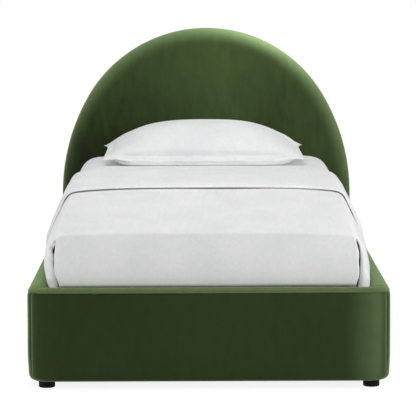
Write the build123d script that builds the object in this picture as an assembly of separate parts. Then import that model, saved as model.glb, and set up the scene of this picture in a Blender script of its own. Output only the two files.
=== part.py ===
from build123d import *
import math
import os

# The bed stands on the floor at Z zero, centred on its footprint.
# Its foot end faces -Y, its headboard stands at +Y, and lengths are in millimetres.

# Overall sizes of the bed
overall_width = 1140.0
overall_length = 2090.0
headboard_height = 1066.0

# Upholstery layers and the clearances that pieces share
velvet_thickness = 1.5
dust_cloth_thickness = 1.0
seat_gap = 0.3
thread_gap = 0.1
cut_overrun = 5.0

# Rails of the padded box
rail_thickness = 62.0
rail_height = 286.0
rail_crown_rise = 6.0
rail_under_radius = 36.0
rail_inner_corner_radius = 6.0
rail_foam_thickness = 20.0
rail_top_foam_thickness = 10.0

# Round feet
foot_height = 25.0
foot_diameter = 52.0
foot_edge_radius = 4.0
foot_corner_offset = 11.0
foot_stem_length = 24.0

# Headboard: an arch of three arcs over straight sides, with the angle that each side arc turns
headboard_thickness = 100.0
headboard_frame_thickness = 60.0
spring_height = 412.0
haunch_angle = 31.5
headboard_front_radius = 48.0
headboard_back_radius = 10.0
pad_rail_gap = 3.0
pad_corner_easing = 4.0
headboard_side_foam_thickness = 12.0
headboard_panel_thickness = 12.0
headboard_frame_width = 55.0
crossbar_over_slat_base = 5.0
middle_crossbar_height = 60.0
cover_return_width = 45.0
dust_cloth_inset = 20.0

# Slats, ledgers and the centre beam
slat_top_height = 245.0
slat_thickness = 18.0
slat_width = 70.0
slat_count = 12
slat_end_gap = 2.0
slat_row_margin = 60.0
ledger_thickness = 25.0
ledger_height = 40.0
ledger_end_gap = 8.0
beam_width = 38.0
beam_height = 70.0
hanger_plate = 2.5
hanger_ear_width = 18.0
hanger_seat_depth = 45.0
hanger_cheek_height = 48.0

# Centre legs and their levelling glides
leg_diameter = 38.0
leg_wall = 2.0
leg_plug_height = 14.0
leg_plate_size = 70.0
leg_plate_thickness = 3.0
leg_spacing = 900.0
glide_diameter = 36.0
glide_pad_height = 9.0
glide_neck_height = 5.0
glide_stem_length = 34.0
glide_edge_radius = 2.0

# Steel corner brackets
bracket_plate = 3.0
bracket_flange = 60.0
bracket_base_height = 58.0
bracket_ledger_gap = 9.0
bracket_bend_radius = 8.0
bolt_margin = 25.0

# Fasteners
bolt_diameter = 8.0
bolt_length = 26.0
bolt_head_diameter = 14.0
bolt_head_height = 5.0
insert_diameter = 12.0
insert_length = 17.0
insert_hole_depth = 25.0
screw_diameter = 4.5
screw_head_diameter = 9.0
screw_head_height = 2.6
slat_screw_length = 34.0
slat_screw_edge = 13.0
ledger_screw_length = 48.0
ledger_screw_count = 5
ledger_screw_margin = 90.0
beam_screw_length = 28.0
leg_screw_spacing_x = 20.0
leg_screw_spacing_y = 50.0

# Bedding
mattress_head_height = 326.0
mattress_foot_height = 236.0
mattress_slope_length = 760.0
mattress_corner_radius = 46.0
mattress_side_radius = 34.0
mattress_side_gap = 25.5
mattress_foot_gap = 18.0
mattress_head_gap = 5.0
sheet_thickness = 1.5
duvet_head_reveal = 785.0
duvet_front_thickness = 13.0
duvet_foot_rise = 15.0
duvet_head_rise = 17.0
duvet_foot_overhang = 16.5
duvet_head_overhang = 62.5
duvet_foot_lean = 6.0
duvet_head_lean = 26.0
duvet_foot_shoulder = 32.0
duvet_head_shoulder = 76.0
duvet_crown = 6.0
duvet_edge_radius = 9.0
duvet_skirt_slat_gap = 16.0
duvet_skirt_gap = 1.0
turnback_length = 505.0
turnback_thickness = 16.0
pillow_width = 752.0
pillow_depth = 490.0
pillow_thickness = 160.0
pillow_draw = 16.0
pillow_edge_thickness = 10.0
pillow_least_crown = 1.0
pillow_flange_width = 24.0
pillow_flange_thickness = 4.0
pillow_back_gap = 52.0

# Shares of the pillow's half width where it is drawn, and of its fullness there
pillow_place_shares = (-1.0, -0.86, -0.55, 0.0, 0.55, 0.86, 1.0)
pillow_fullness_shares = (0.0, 0.5, 0.88, 1.0, 0.88, 0.5, 0.0)
pillow_top_share = 0.7

# Shares of the duvet's length where it has swollen to its full width and where its
# cross-section is drawn, and shares of the turned-back length where that one is drawn
duvet_swell_share = 0.69
duvet_place_shares = (0.0, 0.17, 0.34, 0.69, 1.0)
turnback_place_shares = (0.0, 0.3, 1.0)

# Places worked out from the sizes above
half_width = overall_width / 2
front_y = -overall_length / 2
back_y = overall_length / 2
cover_back_y = back_y - dust_cloth_thickness
slab_front_y = back_y - headboard_frame_thickness
pad_front_y = back_y - headboard_thickness
pad_base = foot_height + rail_height + pad_rail_gap
rail_inner_x = half_width - rail_thickness
rail_inner_y = front_y + rail_thickness
rail_corner_radius = rail_thickness + rail_inner_corner_radius
corner_x = half_width - rail_corner_radius
corner_y = front_y + rail_corner_radius
rail_edge_height = foot_height + rail_height - rail_crown_rise
skin = velvet_thickness + seat_gap
board_outer = skin + rail_foam_thickness + seat_gap
board_base = foot_height + skin
board_top = rail_edge_height - rail_top_foam_thickness
board_under_radius = rail_under_radius - board_outer
arch_rise = headboard_height - spring_height
haunch_turn = math.radians(haunch_angle)
centre_spread = (arch_rise - half_width) / (math.sin(haunch_turn) + math.cos(haunch_turn) - 1)
haunch_offset = centre_spread * math.cos(haunch_turn)
haunch_radius = half_width + haunch_offset
crown_radius = haunch_radius - centre_spread
crown_centre = headboard_height - crown_radius
pad_corner_radius = headboard_front_radius + pad_corner_easing
frame_inset = skin + headboard_side_foam_thickness + seat_gap
panel_front_y = slab_front_y + skin
frame_front_y = panel_front_y + headboard_panel_thickness
frame_back_y = cover_back_y - skin
post_outer_x = half_width - frame_inset
post_inner_x = post_outer_x - headboard_frame_width
slat_base = slat_top_height - slat_thickness
ledger_base = slat_base - ledger_height
bracket_height = ledger_base - bracket_ledger_gap - bracket_base_height
beam_base = slat_base - beam_height
hanger_cheek_inner = beam_width / 2 + seat_gap
hanger_cheek_outer = hanger_cheek_inner + hanger_plate
hanger_reach = hanger_cheek_outer + hanger_ear_width
bolt_reach = bracket_plate + skin
mattress_half_width = rail_inner_x - mattress_side_gap
mattress_head_y = pad_front_y - mattress_head_gap
mattress_foot_y = rail_inner_y + mattress_foot_gap
sheet_top = slat_top_height + mattress_head_height + seat_gap + sheet_thickness
duvet_front_y = mattress_foot_y - duvet_front_thickness
duvet_back_y = mattress_head_y - duvet_head_reveal
duvet_length = duvet_back_y - duvet_front_y
duvet_base = foot_height + rail_height + seat_gap


# Small helpers that every sub-part uses
def block(low, high):
    """A box between two opposite corners."""
    size = [b - a for a, b in zip(low, high)]
    centre = [(a + b) / 2 for a, b in zip(low, high)]
    return Pos(*centre) * Box(*size)


def rod(start, direction, diameter, length):
    """A round bar that leaves a point along a direction."""
    seat = Plane(origin=start, z_dir=direction)
    return seat * Cylinder(diameter / 2, length, align=(Align.CENTER, Align.CENTER, Align.MIN))


def ahead(point, direction, distance):
    """The point that lies a distance along a direction."""
    return tuple(p + distance * d for p, d in zip(point, direction))


def both_sides(left):
    """A left-hand shape and its mirrored right-hand one."""
    return left, mirror(left, about=Plane.YZ)


def group(shapes):
    """Separate solids kept together as one sub-part."""
    return Compound(children=[solid for shape in shapes for solid in shape.solids()])


# Fasteners
def bolt(seat, direction):
    """A pan-head machine bolt whose head rests at the seat and whose shank runs along a direction."""
    head_start = ahead(seat, direction, -bolt_head_height)
    head = rod(head_start, direction, bolt_head_diameter, bolt_head_height)
    return head + rod(seat, direction, bolt_diameter, bolt_length)


def bolt_clearance(seat, direction):
    """The hole that a bolt needs through the bracket and the velvet, up to the timber."""
    start = ahead(seat, direction, -cut_overrun)
    return rod(start, direction, bolt_diameter + 2 * seat_gap, cut_overrun + bolt_reach)


def insert_bore(seat, direction):
    """The blind hole in the timber for a threaded insert and the end of its bolt."""
    start = ahead(seat, direction, bolt_reach - seat_gap)
    return rod(start, direction, insert_diameter + 2 * thread_gap, insert_hole_depth)


def threaded_insert(seat, direction):
    """The steel sleeve that a bolt screws into, flush with the timber."""
    start = ahead(seat, direction, bolt_reach)
    sleeve = rod(start, direction, insert_diameter, insert_length)
    thread_start = ahead(start, direction, -cut_overrun)
    thread_length = insert_length + 2 * cut_overrun
    return sleeve - rod(thread_start, direction, bolt_diameter + 2 * thread_gap, thread_length)


def wood_screw(seat, direction, length):
    """A flat-head wood screw whose head lies flush below the seat."""
    head = rod(seat, direction, screw_head_diameter, screw_head_height)
    return head + rod(seat, direction, screw_diameter, length)


def screw_hole(seat, direction, length):
    """The hole that fits a wood screw and its sunk head."""
    start = ahead(seat, direction, -cut_overrun)
    sink_depth = cut_overrun + screw_head_height + thread_gap
    sink = rod(start, direction, screw_head_diameter + 2 * thread_gap, sink_depth)
    shank_length = cut_overrun + length + thread_gap
    return sink + rod(start, direction, screw_diameter + 2 * thread_gap, shank_length)


# Places of the fasteners
def bracket_seats():
    """Bolt seats and directions of the four corner brackets, left side only."""
    seats = []
    heights = (bracket_base_height + bolt_margin, bracket_base_height + bracket_height - bolt_margin)
    along = rail_inner_corner_radius + bracket_flange - bolt_margin
    for height in heights:
        foot_x = -(rail_inner_x - along)
        seats.append(((foot_x, rail_inner_y + bracket_plate, height), (0, -1, 0)))
        side_y = rail_inner_y + along
        seats.append(((-rail_inner_x + bracket_plate, side_y, height), (-1, 0, 0)))
        seats.append(((foot_x, slab_front_y - bracket_plate, height), (0, 1, 0)))
        seats.append(((-rail_inner_x + bracket_plate, slab_front_y - along, height), (-1, 0, 0)))
    return seats


def mirrored_seats(seats):
    """The same seats with those of the right-hand side added."""
    right = [((-p[0], p[1], p[2]), (-d[0], d[1], d[2])) for p, d in seats]
    return seats + right


def foot_places():
    """Names and centres of the four corner feet."""
    front = corner_y - foot_corner_offset
    back = (slab_front_y + cover_back_y) / 2
    side = corner_x + foot_corner_offset
    return {
        "foot_front_left": (-side, front),
        "foot_front_right": (side, front),
        "foot_back_left": (-side, back),
        "foot_back_right": (side, back),
    }


def foot_seats():
    """Where each foot's stem enters, set down so that its insert lies flush with the timber."""
    return [((x, y, foot_height - bracket_plate), (0, 0, 1)) for x, y in foot_places().values()]


def slat_rows():
    """The Y of each slat's centre, evenly spaced along the ledgers."""
    first = rail_inner_y + slat_row_margin
    last = slab_front_y - slat_row_margin
    return [first + (last - first) * i / (slat_count - 1) for i in range(slat_count)]


def slat_screw_seats():
    """One screw near each end of every slat."""
    side = rail_inner_x - slat_screw_edge
    return [((x, y, slat_top_height), (0, 0, -1)) for y in slat_rows() for x in (-side, side)]


def ledger_screw_seats():
    """The screws that hold the left ledger to its rail board."""
    first = rail_inner_y + ledger_screw_margin
    last = slab_front_y - ledger_screw_margin
    height = ledger_base + ledger_height / 2
    seat_x = -rail_inner_x + ledger_thickness
    steps = ledger_screw_count - 1
    rows = [first + (last - first) * i / steps for i in range(ledger_screw_count)]
    return [((seat_x, y, height), (-1, 0, 0)) for y in rows]


def hanger_screw_seats():
    """Two screws beside the beam through each hanger's back plate."""
    side = hanger_cheek_outer + hanger_ear_width / 2
    height = beam_base + hanger_cheek_height / 2
    foot_plane = rail_inner_y + hanger_plate
    head_plane = slab_front_y - hanger_plate
    seats = []
    for x in (-side, side):
        seats.append(((x, foot_plane, height), (0, -1, 0)))
        seats.append(((x, head_plane, height), (0, 1, 0)))
    return seats


def leg_screw_seats():
    """Four screws up through each centre leg's plate into the beam."""
    height = beam_base - leg_plate_thickness
    seats = []
    for leg_y in (-leg_spacing / 2, leg_spacing / 2):
        for dx in (-leg_screw_spacing_x / 2, leg_screw_spacing_x / 2):
            for dy in (-leg_screw_spacing_y / 2, leg_screw_spacing_y / 2):
                seats.append(((dx, leg_y + dy, height), (0, 0, 1)))
    return seats


BRACKET_SEATS = mirrored_seats(bracket_seats())
FOOT_SEATS = foot_seats()
SLAT_SCREW_SEATS = slat_screw_seats()
LEDGER_SCREW_SEATS = mirrored_seats(ledger_screw_seats())
HANGER_SCREW_SEATS = hanger_screw_seats()
LEG_SCREW_SEATS = leg_screw_seats()


def drill_timber(piece):
    """A timber piece with every insert and screw hole that reaches it."""
    holes = [insert_bore(p, d) for p, d in BRACKET_SEATS + FOOT_SEATS]
    holes += [screw_hole(p, d, ledger_screw_length) for p, d in LEDGER_SCREW_SEATS]
    holes += [screw_hole(p, d, beam_screw_length) for p, d in HANGER_SCREW_SEATS]
    return cut_near(piece, holes)


def drill_cover(piece):
    """A velvet cover with the holes that its bolts, stems and screws need."""
    holes = [bolt_clearance(p, d) for p, d in BRACKET_SEATS + FOOT_SEATS]
    holes += [screw_hole(p, d, ledger_screw_length) for p, d in LEDGER_SCREW_SEATS]
    holes += [screw_hole(p, d, beam_screw_length) for p, d in HANGER_SCREW_SEATS]
    return cut_near(piece, holes)


def cut_near(piece, holes):
    """Cut only the holes whose boxes meet the piece."""
    box = piece.bounding_box()
    near = []
    for hole in holes:
        reach = hole.bounding_box()
        apart = [
            reach.min.X > box.max.X or reach.max.X < box.min.X,
            reach.min.Y > box.max.Y or reach.max.Y < box.min.Y,
            reach.min.Z > box.max.Z or reach.max.Z < box.min.Z,
        ]
        if not any(apart):
            near.append(hole)
    return piece - near if near else piece


# Rails: one cross-section, drawn with its outer face at X zero and its height as Y
def padded_section(depth):
    """The rail's outline at a depth under its velvet, with the domed top."""
    near = depth
    far = rail_thickness - depth
    low = foot_height + depth
    edge = rail_edge_height - depth
    crown = foot_height + rail_height - depth
    radius = rail_under_radius - depth
    bend = radius * math.sqrt(0.5)
    bend_point = (near + radius - bend, low + radius - bend)
    outline = [
        Line((near + radius, low), (far, low)),
        Line((far, low), (far, edge)),
        ThreePointArc((far, edge), ((near + far) / 2, crown), (near, edge)),
        Line((near, edge), (near, low + radius)),
        ThreePointArc((near, low + radius), bend_point, (near + radius, low)),
    ]
    return make_face(Curve() + outline)


def board_section():
    """The timber core of a rail, with its lower outer edge rounded."""
    far = rail_thickness - skin
    centre = ((board_outer + far) / 2, (board_base + board_top) / 2)
    board = Pos(*centre) * Rectangle(far - board_outer, board_top - board_base)
    corner = board.vertices().sort_by(Axis.X)[:2].sort_by(Axis.Y)[:1]
    return fillet(corner, board_under_radius)


def foam_section():
    """The foam over the outer face and the top of a rail."""
    near = board_outer - seat_gap
    far = rail_thickness
    low = foot_height
    centre = ((near + far) / 2, (low + board_top) / 2)
    core = Pos(*centre) * Rectangle(far - near, board_top - low)
    return padded_section(skin) - core


def cover_section():
    """The velvet all round a rail."""
    return padded_section(0) - padded_section(velvet_thickness)


def side_run(section, start, end):
    """A section run along the left side of the bed."""
    placed = Plane.XZ.offset(-end) * Pos(-half_width, 0) * section
    return extrude(placed, amount=end - start)


def corner_run(section):
    """A section turned round the left front corner."""
    placed = Plane.XZ.offset(-corner_y) * Pos(-half_width, 0) * section
    axis = Axis((-corner_x, corner_y, 0), (0, 0, 1))
    return revolve(placed, axis=axis, revolution_arc=90)


def front_run(section):
    """A section run straight across the foot of the bed."""
    placed = Plane.YZ.offset(-corner_x) * Pos(front_y, 0) * section
    return extrude(placed, amount=2 * corner_x)


def wrapped_front(section):
    """A section run across the foot and round both front corners."""
    left, right = both_sides(corner_run(section))
    return left + front_run(section) + right


def foot_rail():
    """The foot rail: board, corner blocks, foam and velvet."""
    left, right = both_sides(corner_run(board_section()))
    return {
        "foot_rail_board": drill_timber(front_run(board_section())),
        "foot_corner_block_left": drill_timber(left),
        "foot_corner_block_right": drill_timber(right),
        "foot_rail_foam": wrapped_front(foam_section()),
        "foot_rail_cover": drill_cover(wrapped_front(cover_section())),
    }


def side_rails():
    """The two side rails, each a board in foam and velvet."""
    start = corner_y + seat_gap
    end = slab_front_y - seat_gap
    boards = both_sides(side_run(board_section(), start, end))
    foams = both_sides(side_run(foam_section(), start, end))
    covers = both_sides(side_run(cover_section(), start, end))
    pieces = {}
    for side, board, foam, cover in zip(("left", "right"), boards, foams, covers):
        pieces[f"side_rail_board_{side}"] = drill_timber(board)
        pieces[f"side_rail_foam_{side}"] = foam
        pieces[f"side_rail_cover_{side}"] = drill_cover(cover)
    return pieces


# Headboard: outlines are drawn with X across and height as Y
def arch_face(inset, base):
    """The arched outline, drawn in from its edge by an inset, down to a base height."""
    side = half_width - inset
    haunch = haunch_radius - inset
    crown = crown_radius - inset
    left_end = 180 - haunch_angle
    outline = [
        Line((-side, base), (side, base)),
        Line((side, base), (side, spring_height)),
        CenterArc((-haunch_offset, spring_height), haunch, 0, haunch_angle),
        CenterArc((0, crown_centre), crown, haunch_angle, left_end - haunch_angle),
        CenterArc((haunch_offset, spring_height), haunch, left_end, haunch_angle),
        Line((-side, spring_height), (-side, base)),
    ]
    return make_face(Curve() + outline)


def upright(face, start, end):
    """An outline stood up and given its thickness between two Y planes."""
    return extrude(Plane.XZ.offset(-end) * face, amount=end - start)


def headboard_form(depth):
    """The padded headboard's outer form at a depth under its velvet."""
    slab = upright(arch_face(depth, foot_height + depth), slab_front_y + depth, cover_back_y - depth)
    back_edges = slab.faces().sort_by(Axis.Y)[-1].edges().sort_by(Axis.Z)[1:]
    slab = fillet(back_edges, headboard_back_radius - depth)
    outline = arch_face(depth, pad_base + depth)
    corners = outline.vertices().sort_by(Axis.Y)[:2]
    outline = fillet(corners, pad_corner_radius - depth)
    pad = upright(outline, pad_front_y + depth, cover_back_y)
    front_edges = pad.faces().sort_by(Axis.Y)[0].edges()
    pad = fillet(front_edges, headboard_front_radius - depth)
    slab_low = (-half_width - cut_overrun, slab_front_y + depth, 0)
    slab_high = (half_width + cut_overrun, back_y, headboard_height + cut_overrun)
    return slab + (pad - block(slab_low, slab_high))


def headboard_cover():
    """The velvet over the pad, round the edge and onto the back."""
    shell = headboard_form(0) - headboard_form(velvet_thickness)
    opening = arch_face(cover_return_width, foot_height + cover_return_width)
    window = upright(opening, frame_back_y, back_y)
    return drill_cover(shell - window)


def headboard_foam():
    """The thick front pad and the thin foam round the edge of the frame."""
    core_face = arch_face(frame_inset - seat_gap, foot_height)
    core = upright(core_face, panel_front_y, back_y)
    return headboard_form(skin) - core


def headboard_rib():
    """The bent rib of the frame, from one springing to the other."""
    ring = arch_face(frame_inset, board_base)
    ring -= arch_face(frame_inset + headboard_frame_width, foot_height)
    upper = Pos(0, spring_height + arch_rise / 2) * Rectangle(overall_width, arch_rise)
    return upright(ring & upper, frame_front_y, frame_back_y)


def headboard():
    """The headboard: plywood panel, timber frame, foam, velvet and dust cloth."""
    post_low = (-post_outer_x, frame_front_y, board_base)
    post_high = (-post_inner_x, frame_back_y, spring_height)
    posts = both_sides(block(post_low, post_high))
    lower_high = (post_inner_x, frame_back_y, slat_base + crossbar_over_slat_base)
    middle_low = (-post_inner_x, frame_front_y, spring_height - middle_crossbar_height)
    cloth = arch_face(dust_cloth_inset, foot_height + dust_cloth_inset)
    panel = upright(arch_face(frame_inset, board_base), panel_front_y, frame_front_y)
    return {
        "headboard_panel": drill_timber(panel),
        "headboard_rib": headboard_rib(),
        "headboard_post_left": drill_timber(posts[0]),
        "headboard_post_right": drill_timber(posts[1]),
        "headboard_lower_crossbar": drill_timber(
            block((-post_inner_x, frame_front_y, board_base), lower_high)
        ),
        "headboard_middle_crossbar": block(middle_low, (post_inner_x, frame_back_y, spring_height)),
        "headboard_foam": headboard_foam(),
        "headboard_cover": headboard_cover(),
        "headboard_dust_cloth": upright(cloth, cover_back_y, back_y),
    }


# Slats and what carries them
def slats():
    """The hardwood slats, screwed down at both ends."""
    reach = rail_inner_x - slat_end_gap
    holes = [screw_hole(p, d, slat_screw_length) for p, d in SLAT_SCREW_SEATS]
    pieces = {}
    for number, y in enumerate(slat_rows(), start=1):
        low = (-reach, y - slat_width / 2, slat_base)
        high = (reach, y + slat_width / 2, slat_top_height)
        pieces[f"slat_{number:02d}"] = cut_near(block(low, high), holes)
    return pieces


def ledgers():
    """The timber ledgers on the inner faces of the side rails."""
    low = (-rail_inner_x, rail_inner_y + ledger_end_gap, ledger_base)
    high = (-rail_inner_x + ledger_thickness, slab_front_y - ledger_end_gap, slat_base)
    holes = [screw_hole(p, d, slat_screw_length) for p, d in SLAT_SCREW_SEATS]
    holes += [screw_hole(p, d, ledger_screw_length) for p, d in LEDGER_SCREW_SEATS]
    left, right = both_sides(block(low, high))
    return {
        "slat_ledger_left": cut_near(left, holes),
        "slat_ledger_right": cut_near(right, holes),
    }


def beam_hanger(plane_y, inward):
    """A steel shoe on a rail's inner face that carries one end of the centre beam."""
    seat_top = beam_base - seat_gap
    seat_low = seat_top - hanger_plate
    tip_y = plane_y + inward * hanger_seat_depth
    plate_y = plane_y + inward * hanger_plate
    top = seat_top + hanger_cheek_height
    near, far = sorted((plane_y, tip_y))
    plate_near, plate_far = sorted((plane_y, plate_y))
    plate = block((-hanger_reach, plate_near, seat_low), (hanger_reach, plate_far, top))
    seat = block((-hanger_cheek_outer, near, seat_low), (hanger_cheek_outer, far, seat_top))
    cheek = block((-hanger_cheek_outer, near, seat_low), (-hanger_cheek_inner, far, top))
    left, right = both_sides(cheek)
    holes = [screw_hole(p, d, beam_screw_length) for p, d in HANGER_SCREW_SEATS]
    return cut_near(plate + seat + left + right, holes)


def centre_support():
    """The centre beam and the two shoes that it hangs in."""
    end_gap = hanger_plate + seat_gap
    low = (-beam_width / 2, rail_inner_y + end_gap, beam_base)
    high = (beam_width / 2, slab_front_y - end_gap, slat_base)
    holes = [screw_hole(p, d, beam_screw_length) for p, d in LEG_SCREW_SEATS]
    return {
        "centre_beam": cut_near(block(low, high), holes),
        "beam_hanger_foot": beam_hanger(rail_inner_y, 1),
        "beam_hanger_head": beam_hanger(slab_front_y, -1),
    }


def centre_leg(leg_y):
    """A steel tube leg with a top plate and a threaded plug in its lower end."""
    low = glide_pad_height + glide_neck_height
    high = beam_base - leg_plate_thickness
    up = (0, 0, 1)
    tube = rod((0, leg_y, low), up, leg_diameter, high - low)
    bore_start = (0, leg_y, low + leg_plug_height)
    tube -= rod(bore_start, up, leg_diameter - 2 * leg_wall, high - low - leg_plug_height)
    thread_start = (0, leg_y, low - cut_overrun)
    tube -= rod(thread_start, up, bolt_diameter + 2 * thread_gap, leg_plug_height + 2 * cut_overrun)
    half = leg_plate_size / 2
    plate = block((-half, leg_y - half, high), (half, leg_y + half, beam_base))
    holes = [screw_hole(p, d, beam_screw_length) for p, d in LEG_SCREW_SEATS]
    return cut_near(tube + plate, holes)


def centre_glide(leg_y):
    """A levelling glide: round pad, neck and threaded stem."""
    up = (0, 0, 1)
    pad = rod((0, leg_y, 0), up, glide_diameter, glide_pad_height)
    pad = fillet(pad.faces().sort_by(Axis.Z)[0].edges(), glide_edge_radius)
    neck_height = glide_neck_height - seat_gap
    neck = rod((0, leg_y, glide_pad_height), up, insert_diameter, neck_height)
    return pad + neck + rod((0, leg_y, glide_pad_height), up, bolt_diameter, glide_stem_length)


def centre_legs():
    """Both centre legs with their glides."""
    pieces = {}
    for name, leg_y in (("front", -leg_spacing / 2), ("back", leg_spacing / 2)):
        pieces[f"centre_leg_{name}"] = centre_leg(leg_y)
        pieces[f"centre_glide_{name}"] = centre_glide(leg_y)
    return pieces


# Corner brackets, bolts, screws and feet
def angle_bracket(plane_y, inward):
    """A bent steel angle in a left-hand inner corner of the box."""
    inner = bracket_bend_radius - bracket_plate
    reach = rail_inner_corner_radius + bracket_flange
    profile = Pos(reach / 2, reach / 2) * Rectangle(reach, reach)
    hollow_centre = (reach + bracket_plate) / 2
    hollow = Pos(hollow_centre, hollow_centre) * Rectangle(reach - bracket_plate, reach - bracket_plate)
    outer_corner = profile.vertices().sort_by_distance((0, 0))[:1]
    inner_corner = hollow.vertices().sort_by_distance((0, 0))[:1]
    profile = fillet(outer_corner, bracket_bend_radius)
    hollow = fillet(inner_corner, inner)
    angle = extrude(profile - hollow, amount=bracket_height)
    if inward < 0:
        angle = mirror(angle, about=Plane.XZ)
    placed = Pos(-rail_inner_x, plane_y, bracket_base_height) * angle
    return cut_near(placed, [bolt_clearance(p, d) for p, d in BRACKET_SEATS])


def brackets():
    """The four corner brackets."""
    foot_left, foot_right = both_sides(angle_bracket(rail_inner_y, 1))
    head_left, head_right = both_sides(angle_bracket(slab_front_y, -1))
    return {
        "foot_bracket_left": foot_left,
        "foot_bracket_right": foot_right,
        "headboard_bracket_left": head_left,
        "headboard_bracket_right": head_right,
    }


def fasteners():
    """All bolts, threaded inserts and wood screws, one sub-part for each kind."""
    beam_screws = HANGER_SCREW_SEATS + LEG_SCREW_SEATS
    return {
        "bracket_bolts": group([bolt(p, d) for p, d in BRACKET_SEATS]),
        "threaded_inserts": group([threaded_insert(p, d) for p, d in BRACKET_SEATS + FOOT_SEATS]),
        "slat_screws": group([wood_screw(p, d, slat_screw_length) for p, d in SLAT_SCREW_SEATS]),
        "ledger_screws": group([wood_screw(p, d, ledger_screw_length) for p, d in LEDGER_SCREW_SEATS]),
        "beam_screws": group([wood_screw(p, d, beam_screw_length) for p, d in beam_screws]),
    }


def round_foot(x, y):
    """A short black foot with its threaded stem."""
    up = (0, 0, 1)
    pad = rod((x, y, 0), up, foot_diameter, foot_height)
    pad = fillet(pad.faces().sort_by(Axis.Z)[0].edges(), foot_edge_radius)
    return pad + rod((x, y, foot_height), up, bolt_diameter, foot_stem_length)


def feet():
    """The four corner feet."""
    return {name: round_foot(*place) for name, place in foot_places().items()}


# Bedding
def mattress_form(grow):
    """The mattress, or what wraps it closely, drawn out by a thickness on all sides but the base."""
    foot = mattress_foot_y - grow
    head = mattress_head_y + grow
    base = slat_top_height
    foot_top = base + mattress_foot_height + grow
    head_top = base + mattress_head_height + grow
    slope_end = mattress_foot_y + mattress_slope_length
    points = [(foot, base), (head, base), (head, head_top), (slope_end, head_top), (foot, foot_top)]
    radius = mattress_corner_radius + grow
    radii = [radius, radius, radius, mattress_slope_length, radius]
    outline = FilletPolyline(*points, radius=radii, close=True)
    reach = mattress_half_width + grow
    side = Plane.YZ.offset(-reach) * make_face(outline)
    form = extrude(side, amount=2 * reach)
    ends = form.faces().sort_by(Axis.X)
    return fillet(ends[0].edges() + ends[-1].edges(), mattress_side_radius + grow)


def between(first, last, share):
    """The value a share of the way from one size to another."""
    return first + (last - first) * share


def duvet_outline(y, extra):
    """The duvet's cross-section at a Y, swollen by an extra thickness for the turned-back end."""
    share = min(1, (y - duvet_front_y) / (duvet_length * duvet_swell_share))
    swell = 1 - (1 - share) ** 3
    slope = min(1, (y - duvet_front_y) / mattress_slope_length)
    half = mattress_half_width + between(duvet_foot_overhang, duvet_head_overhang, swell) + extra / 2
    lean = between(duvet_foot_lean, duvet_head_lean, swell)
    shoulder = between(duvet_foot_shoulder, duvet_head_shoulder, swell)
    rise = between(mattress_foot_height, mattress_head_height, slope)
    rise += between(duvet_foot_rise, duvet_head_rise, swell)
    top = slat_top_height + rise + extra
    side_top = top - shoulder
    top_half = half - lean - shoulder
    bend = shoulder * math.sqrt(0.5)
    bend_x = top_half + bend
    bend_z = side_top + bend
    outline = [
        Line((-half, duvet_base), (half, duvet_base)),
        Line((half, duvet_base), (half - lean, side_top)),
        ThreePointArc((half - lean, side_top), (bend_x, bend_z), (top_half, top)),
        ThreePointArc((top_half, top), (0, top + duvet_crown), (-top_half, top)),
        ThreePointArc((-top_half, top), (-bend_x, bend_z), (-half + lean, side_top)),
        Line((-half + lean, side_top), (-half, duvet_base)),
    ]
    return Plane.XZ.offset(-y) * make_face(Curve() + outline)


def duvet_layer(places, extra):
    """A lofted layer of the duvet through its cross-sections, with its free end rounded."""
    layer = loft([duvet_outline(y, extra) for y in places])
    front = layer.faces().sort_by(Axis.Y)[0].edges()
    return fillet(front.sort_by(Axis.Z)[1:], duvet_edge_radius)


def duvet():
    """The duvet: tucked in at the foot and sides, its upper end turned back on itself."""
    fold_y = duvet_back_y - turnback_length
    body = duvet_layer([between(duvet_front_y, duvet_back_y, s) for s in duvet_place_shares], 0)
    turned = [between(fold_y, duvet_back_y, share) for share in turnback_place_shares]
    body += duvet_layer(turned, turnback_thickness)
    skirt_half = rail_inner_x - duvet_skirt_gap
    skirt_base = slat_top_height + duvet_skirt_slat_gap
    skirt_top = duvet_base + duvet_foot_rise
    body += block((-skirt_half, duvet_front_y, skirt_base), (skirt_half, duvet_back_y, skirt_top))
    return body - mattress_form(sheet_thickness + 2 * seat_gap)


def pillow_outline(place, fullness):
    """The pillow's lens-shaped cross-section at a share of its half width."""
    depth = pillow_depth - 2 * pillow_flange_width - 2 * pillow_draw * fullness
    edge = pillow_edge_thickness / 2
    flattest = edge + pillow_least_crown
    top = between(flattest, pillow_thickness * pillow_top_share, fullness)
    low = between(flattest, pillow_thickness * (1 - pillow_top_share), fullness)
    reach = depth / 2
    outline = [
        Line((-reach, -edge), (-reach, edge)),
        ThreePointArc((-reach, edge), (0, top), (reach, edge)),
        Line((reach, edge), (reach, -edge)),
        ThreePointArc((reach, -edge), (0, -low), (-reach, -edge)),
    ]
    x = place * (pillow_width / 2 - pillow_flange_width)
    return Plane.YZ.offset(x) * make_face(Curve() + outline)


def pillow():
    """The pillow in its case, with drawn-in sides and a narrow flange all round."""
    half_x = pillow_width / 2
    half_y = pillow_depth / 2
    corners = [(-half_x, -half_y), (half_x, -half_y), (half_x, half_y), (-half_x, half_y)]
    middles = [(0, -half_y + pillow_draw), (half_x - pillow_draw, 0)]
    middles += [(0, half_y - pillow_draw), (-half_x + pillow_draw, 0)]
    sides = zip(corners, middles, corners[1:] + corners[:1])
    flange = make_face(Curve() + [ThreePointArc(a, b, c) for a, b, c in sides])
    flange = extrude(flange, amount=pillow_flange_thickness / 2, both=True)
    stations = zip(pillow_place_shares, pillow_fullness_shares)
    body = loft([pillow_outline(place, fullness) for place, fullness in stations])
    centre_y = pad_front_y - pillow_back_gap - half_y
    lie = sheet_top + seat_gap + pillow_thickness * (1 - pillow_top_share)
    return Pos(0, centre_y, lie) * (body + flange)


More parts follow.
